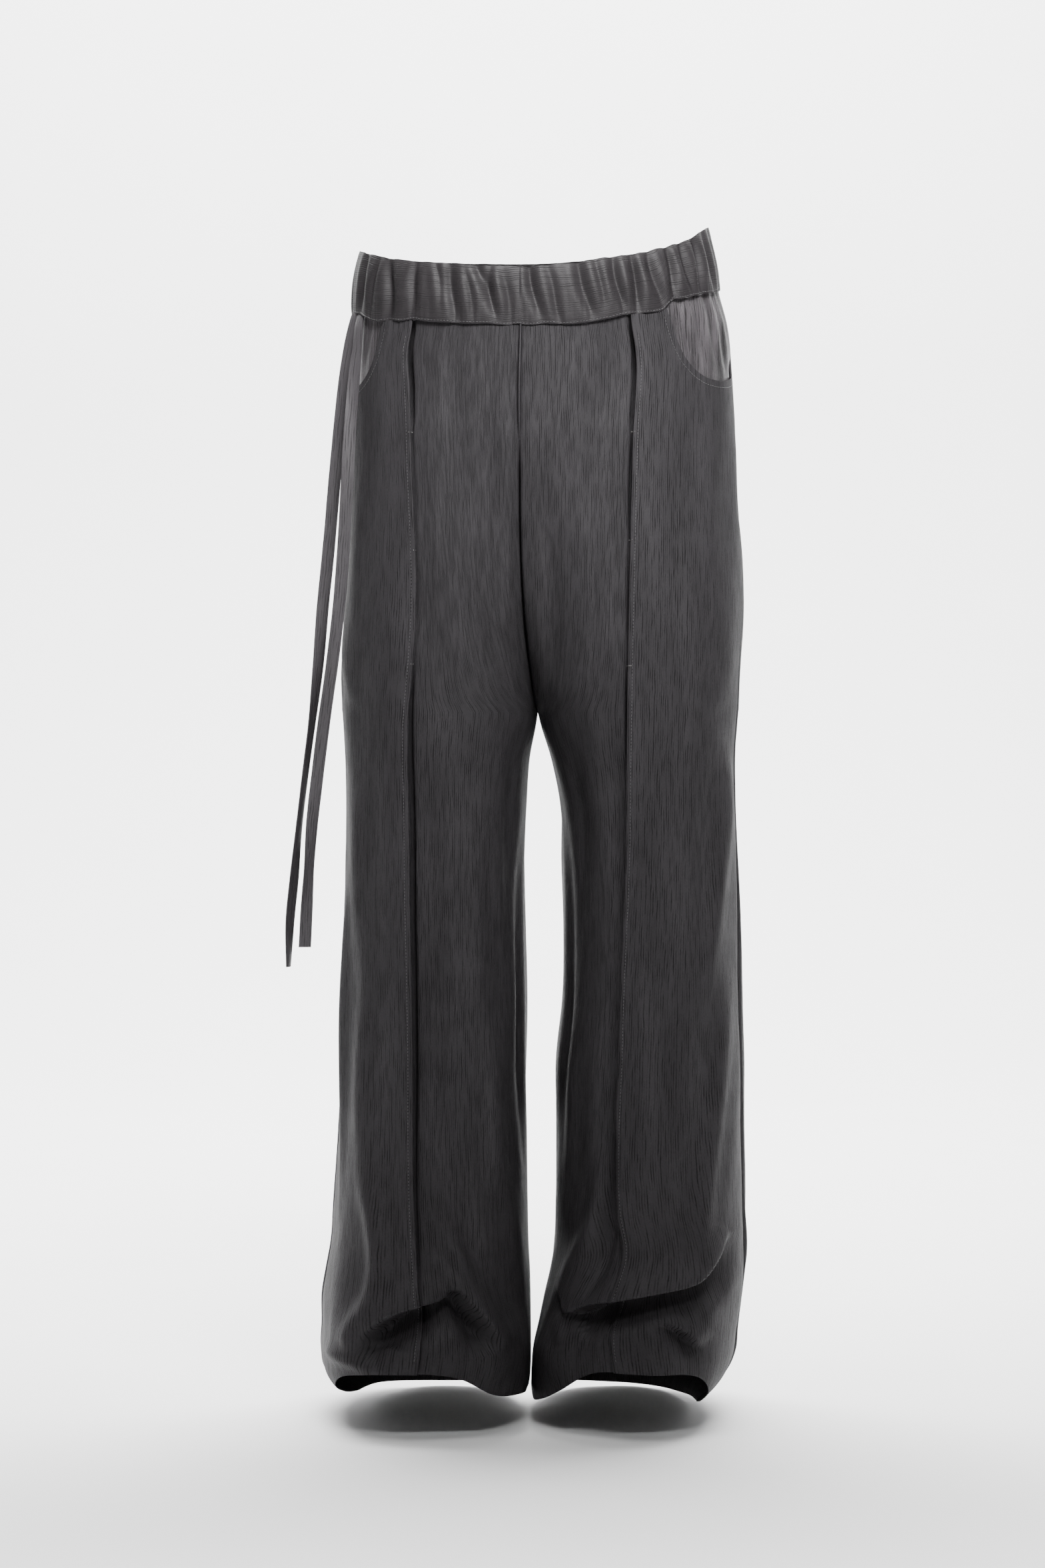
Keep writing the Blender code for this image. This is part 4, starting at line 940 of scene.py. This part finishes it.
def waistband(right, left):
    """The ring of the waistband, from the centre back round the right side to the left."""
    sheets = []
    up = BAND_ROWS[:, None]
    half = BAND_COLUMNS // 2
    for skin, side_name, seed in ((right, "right", 5), (left, "left", 11)):
        places = (np.arange(half) + 0.5) / half * 2
        top, bottom = (band_edge(places, side_name, edge)[None] for edge in ("top", "bottom"))
        long = float(between(skin, skin["lengths"], np.zeros(1))[0].mean())
        places = np.repeat(places[None], len(up), 0)
        level = np.full(places.shape, BAND_PROUD) + BAND_SWELL * np.sin(np.pi * up) ** 0.6
        dip = np.zeros(places.shape)
        gathers = GATHERS[side_name] + tuple(back_gathers(seed))
        for head, foot, head_share, foot_share, width in gathers:
            way = foot + (head - foot) * up + 0.006 * np.sin(5 * up + 40 * head)
            share = foot_share + (head_share - foot_share) * up
            share = share * smooth(-0.12, 0.3, up + 0.3 * foot_share)
            share = share * (0.35 + 0.65 * np.sin(np.pi * np.clip(up, 0, 1)) ** 0.7)
            share = share * (1 - 0.65 * smooth(0.7, 0.92, head) * (head < 1))
            off = (places - way) * long
            width = width * GATHER_WIDER
            level -= share * GATHER_DEPTH * np.exp(-((off / width) ** 2))
            level += share * GATHER_RIDGE * np.exp(-(((np.abs(off) - 2 * width) / width) ** 2))
            dip += GATHER_NOTCH * head_share * np.exp(-((off / 0.006) ** 2)) * up**3
        ruck = np.sin(places * long * 820 + 6 * np.sin(places * 31) + 2 * up)
        level += BAND_RUCK * ruck * (1 - up) ** 2
        sheets.append(lay(skin, (), places, bottom + (top - bottom) * up - dip, level))
    return np.concatenate([sheets[0][:, ::-1], sheets[1]], 1)


def sheet_normals(points, ring):
    """The outward direction at each point of a sheet, level along its top row."""
    if ring:
        across = np.roll(points, -1, 1) - np.roll(points, 1, 1)
    else:
        across = np.gradient(points, axis=1)
        across[:, 1:-1] = points[:, 2:] - points[:, :-2]
    normal = np.cross(across, np.gradient(points, axis=0))
    normal[0, :, 2] = 0.0
    return normal / np.maximum(np.linalg.norm(normal, axis=-1, keepdims=True), 1e-12)


def add_mesh(name, vertices, faces, finish, chart=None):
    """A smooth-shaded piece, with the cut cloth's own measures as its chart."""
    mesh = bpy.data.meshes.new(name)
    mesh.from_pydata(vertices.tolist(), [], faces.tolist())
    mesh.update()
    mesh.polygons.foreach_set("use_smooth", np.ones(len(mesh.polygons), bool))
    mesh.set_sharp_from_angle(angle=math.radians(55))
    if chart is not None:
        corner = np.zeros(len(mesh.loops), np.int32)
        mesh.loops.foreach_get("vertex_index", corner)
        layer = mesh.uv_layers.new(name="cloth")
        layer.data.foreach_set("uv", chart[corner].astype(np.float32).ravel())
    made = bpy.data.objects.new(name, mesh)
    bpy.context.scene.collection.objects.link(made)
    made.data.materials.append(finish)
    return made


def add_wall(name, points, thick, finish, across, ring=False, flip=False):
    """A closed wall of even thickness round a sheet of points."""
    normal = sheet_normals(points, ring) * (-1 if flip else 1)
    rows, columns = points.shape[:2]
    count = rows * columns
    index = np.arange(count).reshape(rows, columns)
    if ring:
        index = np.concatenate([index, index[:, :1]], 1)
    a, b = index[:-1, :-1].ravel(), index[:-1, 1:].ravel()
    c, d = index[1:, 1:].ravel(), index[1:, :-1].ravel()
    faces = [np.stack([a, b, c, d], 1), np.stack([d, c, b, a], 1) + count]
    rims = [(index[0, :-1], index[0, 1:]), (index[-1, 1:], index[-1, :-1])]
    if not ring:
        rims += [(index[1:, 0], index[:-1, 0]), (index[:-1, -1], index[1:, -1])]
    for first, second in rims:
        faces.append(np.stack([first, first + count, second + count, second], 1))
    faces = np.concatenate(faces)
    if flip:
        faces = faces[:, ::-1]
    outer, inner = points + normal * thick / 2, points - normal * thick / 2
    vertices = np.concatenate([outer.reshape(-1, 3), inner.reshape(-1, 3)])
    steps = np.linalg.norm(np.diff(points, axis=0), axis=2)
    down = np.concatenate([np.zeros((1, columns)), np.cumsum(steps, 0)])
    chart = np.stack([np.broadcast_to(across, down.shape), down], -1).reshape(-1, 2)
    return add_mesh(name, vertices, faces, finish, np.concatenate([chart, chart]))


def add_tie(name, table, finish):
    """A flat strip that hangs from the waistband and turns as it falls."""
    z = np.linspace(table[0][0], table[-1][0], TIE_ROWS)
    x, y, turn = (read(table, TIE_COLUMNS, n, z) for n in TIE_COLUMNS[1:])
    turn = np.radians(turn)
    wide = np.stack([np.cos(turn), np.sin(turn), np.zeros(len(z))], 1)
    out = np.stack([-np.sin(turn), np.cos(turn), np.zeros(len(z))], 1)
    cup = TIE_CUP * np.sin(z * 41)[:, None] * (1 - 4 * TIE_PLACES[None] ** 2)
    sheet = (np.stack([x, y, z], 1)[:, None]
             + wide[:, None] * (TIE_PLACES * TIE_WIDTH)[None, :, None]
             + out[:, None] * cup[..., None])
    return add_wall(name, sheet, TIE_THICK, finish, TIE_PLACES * TIE_WIDTH)


def resample(line, gap):
    """Points of a line at even gaps."""
    far = np.concatenate([[0], np.cumsum(np.linalg.norm(np.diff(line, axis=0), axis=1))])
    at = np.arange(gap / 2, far[-1], gap)
    return np.stack([np.interp(at, far, line[:, k]) for k in range(3)], 1)


def stitches(lines, long, gap):
    """Sewn lines: a small rounded thread for every stitch along each line of points."""
    turn = np.arange(5) * 2 * math.pi / 5
    rings = ((-0.5, 0.15), (-0.34, 0.85), (0.0, 1.0), (0.34, 0.85), (0.5, 0.15))
    vertices, faces, pattern = [], [], []
    for r in range(len(rings) - 1):
        for k in range(5):
            n = (k + 1) % 5
            pattern.append((r * 5 + k, r * 5 + n, r * 5 + 5 + n, r * 5 + 5 + k))
    for line in lines:
        middle = resample(line, gap)
        if len(middle) < 2:
            continue
        way = np.gradient(middle, axis=0)
        way /= np.linalg.norm(way, axis=1, keepdims=True)
        side = np.cross(way, np.array(ASLANT))
        side /= np.linalg.norm(side, axis=1, keepdims=True)
        up = np.cross(side, way)
        for m, w, s, u in zip(middle, way, side, up):
            start = len(vertices)
            for along, wide in rings:
                for k in range(5):
                    around = s * math.cos(turn[k]) + u * math.sin(turn[k])
                    vertices.append(m + w * along * long + around * wide * THREAD / 2)
            faces += [tuple(start + i for i in face) for face in pattern]
    return np.array(vertices), np.array(faces)


def lengthwise(skin, folds, z, reach, level):
    """A line down a front panel, reach metres past the pleat's edge."""
    pleat, long = pleat_place(skin, z)
    return lay(skin, folds, pleat + reach / long, z, np.full(len(z), level))


def scoop_line(skin, folds, side_name, inside, level):
    """A line beside the scoop's edge, inside metres into the front panel."""
    shares = np.concatenate([np.linspace(0.262, 0.31, 26), np.linspace(0.32, 0.995, 50)])
    z = scoop_height(side_name, shares)
    pleat, long = pleat_place(skin, z)
    way = (pleat + (1 - pleat) * shares) * long
    step = np.maximum(np.hypot(np.gradient(z), np.gradient(way)), 1e-9)
    slope, run = np.gradient(z) / step, np.gradient(way) / step
    way, low = way + slope * inside, z - run * inside
    return lay(skin, folds, way / long, low, np.full(len(low), level))


def node(tree, kind, at, sockets=None, **values):
    """A shader node with its own values and the constants of its sockets."""
    made = tree.nodes.new(kind)
    made.location = at
    for name, value in values.items():
        setattr(made, name, value)
    for socket, value in (sockets or {}).items():
        made.inputs[socket].default_value = value
    return made


def new_group(name, inputs, outputs):
    """A node group with its named inputs and outputs, and the nodes that carry them."""
    group = bpy.data.node_groups.new(name, "ShaderNodeTree")
    for way, sockets in (("INPUT", inputs), ("OUTPUT", outputs)):
        for title, kind in sockets:
            group.interface.new_socket(name=title, in_out=way, socket_type="NodeSocket" + kind)
    return group, node(group, "NodeGroupInput", (-1700, 0)), node(group, "NodeGroupOutput", (1400, 0))


def crinkle_group(name, across, along):
    """Crinkle of crepe: fine grooves along the cloth that bend slowly and break off, fine threads
    between them, and slow shade. Rib is low in the grooves, where the finishes paint shade."""
    group, into, out = new_group(name, (("Grooves per metre", "Float"), ("Wander", "Float")),
                                 (("Height", "Float"), ("Rib", "Float"), ("Shade", "Float")))
    link = group.links.new

    def math_node(operation, at, *values):
        made = node(group, "ShaderNodeMath", at, operation=operation)
        for socket, value in zip(made.inputs, values):
            if isinstance(value, (int, float)):
                socket.default_value = value
            else:
                link(value, socket)
        return made.outputs[0]

    chart = node(group, "ShaderNodeUVMap", (-1700, 300), uv_map="cloth")
    split = node(group, "ShaderNodeSeparateXYZ", (-1500, 300))
    link(chart.outputs["UV"], split.inputs[0])

    def noise(at, per_metre_across, per_metre_along, detail):
        join = node(group, "ShaderNodeCombineXYZ", (at[0] - 200, at[1]))
        link(math_node("MULTIPLY", (at[0] - 400, at[1]), split.outputs[across],
                       per_metre_across), join.inputs["X"])
        link(math_node("MULTIPLY", (at[0] - 400, at[1] - 150), split.outputs[along],
                       per_metre_along), join.inputs["Y"])
        made = node(group, "ShaderNodeTexNoise", at, {"Scale": 1.0, "Detail": detail},
                    noise_dimensions="2D")
        link(join.outputs[0], made.inputs["Vector"])
        return made.outputs["Fac"]

    bend = math_node("MULTIPLY", (-500, 500), noise((-700, 500), 110.0, 34.0, 2.0),
                     into.outputs["Wander"])
    even = math_node("MULTIPLY", (-700, 250), split.outputs[across],
                     into.outputs["Grooves per metre"])
    turns = math_node("ADD", (-300, 400), bend, even)
    wave = math_node("SINE", (100, 400), math_node("MULTIPLY", (-100, 400), turns, 2 * math.pi))
    strong = node(group, "ShaderNodeMapRange", (-300, 0), {"From Min": 0.36, "From Max": 0.66})
    link(noise((-500, 0), 300.0, 40.0, 2.0), strong.inputs["Value"])
    groove = node(group, "ShaderNodeMapRange", (300, 400), {"From Min": 0.15},
                  interpolation_type="SMOOTHSTEP")
    link(wave, groove.inputs["Value"])
    deep = math_node("MULTIPLY", (500, 300), groove.outputs["Result"], strong.outputs["Result"])
    rib = math_node("SUBTRACT", (700, 300), 1.0, deep)
    thread = noise((300, -200), 1500.0, 500.0, 1.0)
    link(math_node("MULTIPLY_ADD", (900, 100), thread, 0.35, rib), out.inputs["Height"])
    middle = math_node("SUBTRACT", (700, -100), thread, 0.5)
    link(math_node("MULTIPLY_ADD", (900, 300), middle, 0.7, rib), out.inputs["Rib"])
    link(noise((300, -500), 42.0, 9.0, 3.0), out.inputs["Shade"])
    return group


def grain_group():
    """Two tones mixed by a fine grain."""
    group, into, out = new_group("grain", (("Scale", "Float"), ("Low", "Color"), ("High", "Color")),
                                 (("Tone", "Color"),))
    place = node(group, "ShaderNodeTexCoord", (-1700, 300))
    grain = node(group, "ShaderNodeTexNoise", (-700, 0))
    tone = node(group, "ShaderNodeMix", (-400, 0), data_type="RGBA")
    for source, socket in ((place.outputs["Object"], grain.inputs["Vector"]),
                           (into.outputs["Scale"], grain.inputs["Scale"]),
                           (grain.outputs["Fac"], tone.inputs["Factor"]),
                           (into.outputs["Low"], tone.inputs["A"]),
                           (into.outputs["High"], tone.inputs["B"]),
                           (tone.outputs["Result"], out.inputs["Tone"])):
        group.links.new(source, socket)
    return group


def new_finish(name):
    """A material, its tree and its Principled shader."""
    made = bpy.data.materials.new(name)
    made.use_nodes = True
    return made, made.node_tree, made.node_tree.nodes["Principled BSDF"]


def cloth(name, groove, crest, rough, grooves, relief, shine, mottle_and_sheen=0.07, turned=False):
    """A crepe finish: its colour in the grooves, darker there as painted shade, and on its crests, and
    grooves per metre of the cut cloth, which run down it or, where the cloth is turned, across."""
    made, tree, shader = new_finish(name)
    link = tree.links.new
    crinkle = node(tree, "ShaderNodeGroup", (-900, 0),
                   {"Grooves per metre": grooves, "Wander": WANDER},
                   node_tree=TURNED if turned else CRINKLE)
    # The groove colour, mixed in where Rib is low, is painted shade in the crinkle's grooves.
    tone = node(tree, "ShaderNodeMix", (-400, 300), {"A": (*groove, 1), "B": (*crest, 1)},
                data_type="RGBA")
    link(crinkle.outputs["Rib"], tone.inputs["Factor"])
    # Slow mottle of the colour: uneven tone, and on the facing partly painted sheen.
    shade = node(tree, "ShaderNodeMapRange", (-600, -100),
                 {"From Min": 0.3, "From Max": 0.7, "To Min": 1 - mottle_and_sheen, "To Max": 1 + mottle_and_sheen})
    link(crinkle.outputs["Shade"], shade.inputs["Value"])
    tint = node(tree, "ShaderNodeVectorMath", (-200, 300), operation="SCALE")
    link(tone.outputs["Result"], tint.inputs[0])
    link(shade.outputs["Result"], tint.inputs["Scale"])
    link(tint.outputs[0], shader.inputs["Base Color"])
    dull = node(tree, "ShaderNodeMapRange", (-400, -300),
                {"To Min": rough + 0.12, "To Max": rough - 0.05})
    link(crinkle.outputs["Rib"], dull.inputs["Value"])
    link(dull.outputs["Result"], shader.inputs["Roughness"])
    bump = node(tree, "ShaderNodeBump", (-200, -500), {"Strength": 1.0, "Distance": relief})
    link(crinkle.outputs["Height"], bump.inputs["Height"])
    link(bump.outputs["Normal"], shader.inputs["Normal"])
    shader.inputs["Specular IOR Level"].default_value = shine
    return made


def grained(name, scale, low, high, rough):
    """A dull finish with a fine grain of two tones."""
    made, tree, shader = new_finish(name)
    grain = node(tree, "ShaderNodeGroup", (-400, 0),
                 {"Scale": scale, "Low": (*low, 1), "High": (*high, 1)}, node_tree=GRAIN)
    tree.links.new(grain.outputs["Tone"], shader.inputs["Base Color"])
    shader.inputs["Roughness"].default_value = rough
    return made


def thread_finish(name, colour):
    """A sewing thread's finish, with the fine light and dark of its twist."""
    return grained(name, 2400.0, [0.7 * c for c in colour], [1.3 * c for c in colour], 0.45)


def put(name, data, place, turn):
    """A lamp or the camera, in its place."""
    holder = bpy.data.objects.new(name, data)
    bpy.context.scene.collection.objects.link(holder)
    holder.location = place
    holder.rotation_euler = turn
    return holder


def add_studio():
    """A pale floor that sweeps up behind, soft lamps and the camera."""
    rows = [(FLOOR_FRONT, FLOOR), (FLOOR_BACK, FLOOR)]
    for turn in np.linspace(0, 90, 13)[1:]:
        a = math.radians(turn)
        rows.append((FLOOR_BACK + FLOOR_SWEEP * math.sin(a),
                     FLOOR + FLOOR_SWEEP * (1 - math.cos(a))))
    rows.append((FLOOR_BACK + FLOOR_SWEEP, WALL_TOP))
    vertices = np.array([(x, y, z) for y, z in rows for x in (-FLOOR_HALF, FLOOR_HALF)])
    faces = np.array([(2 * i, 2 * i + 1, 2 * i + 3, 2 * i + 2) for i in range(len(rows) - 1)])
    finish = grained("studio floor", 3.0, (0.86, 0.86, 0.86), (0.9, 0.9, 0.9), 0.8)
    floor = add_mesh("studio_floor", vertices, faces, finish)
    world = bpy.data.worlds.new("studio light")
    bpy.context.scene.world = world
    world.use_nodes = True
    sky = world.node_tree.nodes["Background"]
    sky.inputs["Color"].default_value = (1.0, 1.0, 1.0, 1.0)
    sky.inputs["Strength"].default_value = WORLD_LIGHT
    for name, place, aim, size, power, spread in LAMPS:
        lamp = bpy.data.lights.new(name, "AREA")
        lamp.shape = "RECTANGLE"
        lamp.size, lamp.size_y = size
        lamp.energy = power
        lamp.spread = math.radians(spread)
        way = Vector(aim) - Vector(place)
        put(name, lamp, place, way.to_track_quat("-Z", "Y").to_euler())
    camera = bpy.data.cameras.new("camera")
    camera.sensor_fit = "VERTICAL"
    camera.sensor_height = SENSOR
    camera.lens = SENSOR * CAMERA_BACK / (PHOTO_HEIGHT * METRES_PER_PIXEL)
    camera.clip_end = 60.0
    bpy.context.scene.camera = put("camera", camera, (CAMERA_ACROSS, -CAMERA_BACK, CAMERA_HEIGHT),
                                   (math.radians(90), 0, 0))


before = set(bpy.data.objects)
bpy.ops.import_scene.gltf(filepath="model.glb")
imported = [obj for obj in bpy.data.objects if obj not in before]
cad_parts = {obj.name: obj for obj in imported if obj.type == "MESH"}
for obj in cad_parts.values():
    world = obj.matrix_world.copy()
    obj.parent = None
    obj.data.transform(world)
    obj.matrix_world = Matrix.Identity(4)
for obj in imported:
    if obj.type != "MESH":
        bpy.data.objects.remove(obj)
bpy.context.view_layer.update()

CRINKLE = crinkle_group("crepe crinkle", "X", "Y")
TURNED = crinkle_group("crepe crinkle, turned", "Y", "X")
GRAIN = grain_group()
# Each crepe's first colour is painted shade for its grooves, the second its crests' colour.
leg_crepe = cloth("leg crepe", (0.0084, 0.0078, 0.0085), (0.0264, 0.0247, 0.0267), 0.62,
                  480.0, 0.0004, 0.1, mottle_and_sheen=0.13)
band_crepe = cloth("waistband crepe", (0.01, 0.009, 0.0097), (0.0186, 0.0167, 0.018), 0.54,
                   520.0, 0.00013, 0.16, mottle_and_sheen=0.12, turned=True)
# The facing's light crest colour and strong mottle are partly painted sheen, the satin's bright
# streaks, and partly its own lighter, uneven tone.
facing_crepe = cloth("facing satin", (0.016, 0.0146, 0.0157), (0.056, 0.0508, 0.0549), 0.44,
                     340.0, 0.0006, 0.3, mottle_and_sheen=0.8)
tie_crepe = cloth("tie crepe", (0.024, 0.0222, 0.0238), (0.05, 0.0463, 0.0497), 0.5,
                  430.0, 0.0003, 0.25)
dark_thread = thread_finish("dark thread", (0.055, 0.0535, 0.056))
tack_thread = thread_finish("tack thread", (0.11, 0.107, 0.104))

right = make_skin(RIGHT_LEG, RIGHT_LINES, -1)
left = make_skin(LEFT_LEG, LEFT_LINES, 1)
LEGS = (("right", right, (RIGHT_FOLDS, RIGHT_CREASES, RIGHT_SWELLS), True),
        ("left", left, (LEFT_FOLDS, LEFT_CREASES, LEFT_SWELLS), False))

made = {}
for side_name, skin, folds, flip in LEGS:
    sheets = (("front", front_panel(skin, folds, side_name), leg_crepe),
              ("back", back_panel(skin, folds, side_name), leg_crepe),
              ("facing", pocket_facing(skin, side_name), facing_crepe))
    for part, (points, across), finish in sheets:
        made[part + "_" + side_name] = add_wall(part + "_shell_" + side_name, points, WALL, finish,
                                                across, flip=flip)
band = waistband(right, left)
made["waistband"] = add_wall("waistband_shell", band, BAND_WALL, band_crepe,
                             np.arange(BAND_COLUMNS) * BAND_COLUMN_WIDTH, ring=True)
made["tie_outer"] = add_tie("tie_shell_outer", TIE_OUTER, tie_crepe)
made["tie_inner"] = add_tie("tie_shell_inner", TIE_INNER, tie_crepe)

for name, piece in made.items():
    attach(piece, "root")
    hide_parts(name)

# Threads along the pleats, the scoops and the waistband's seam, and the bar tacks
sewn, tacks = [], []
proud = WALL / 2 + THREAD_PROUD
for side_name, skin, folds, _ in LEGS:
    sewn.append(lengthwise(skin, folds, STITCHED_DOWN, PLEAT_STITCHING, proud))
    sewn.append(scoop_line(skin, folds, side_name, SCOOP_STITCHING, proud))
    for height in TACKS[side_name]:
        for k in range(2):
            reach = np.linspace(TACK_FROM, TACK_TO, 8)
            level = np.where(reach > TACK_CLIMBS, proud, -2 * PLEAT_STEP + proud)
            tacks.append(lengthwise(skin, folds, np.full(8, height + k * THREAD), reach, level))
line = 0.45 * band[0] + 0.55 * band[1]
line = line + sheet_normals(band, True)[1] * (BAND_WALL / 2 + BAND_THREAD_PROUD)
sewn.append(np.concatenate([line, line[:1]]))
vertices, faces = stitches(sewn, STITCH, STITCH_GAP)
seams = add_mesh("edge_stitching", vertices, faces, dark_thread)
vertices, faces = stitches(tacks, TACK_STITCH, TACK_STITCH)
bars = add_mesh("bar_tacks", vertices, faces, tack_thread)
for piece in (seams, bars):
    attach(piece, "root")

add_studio()
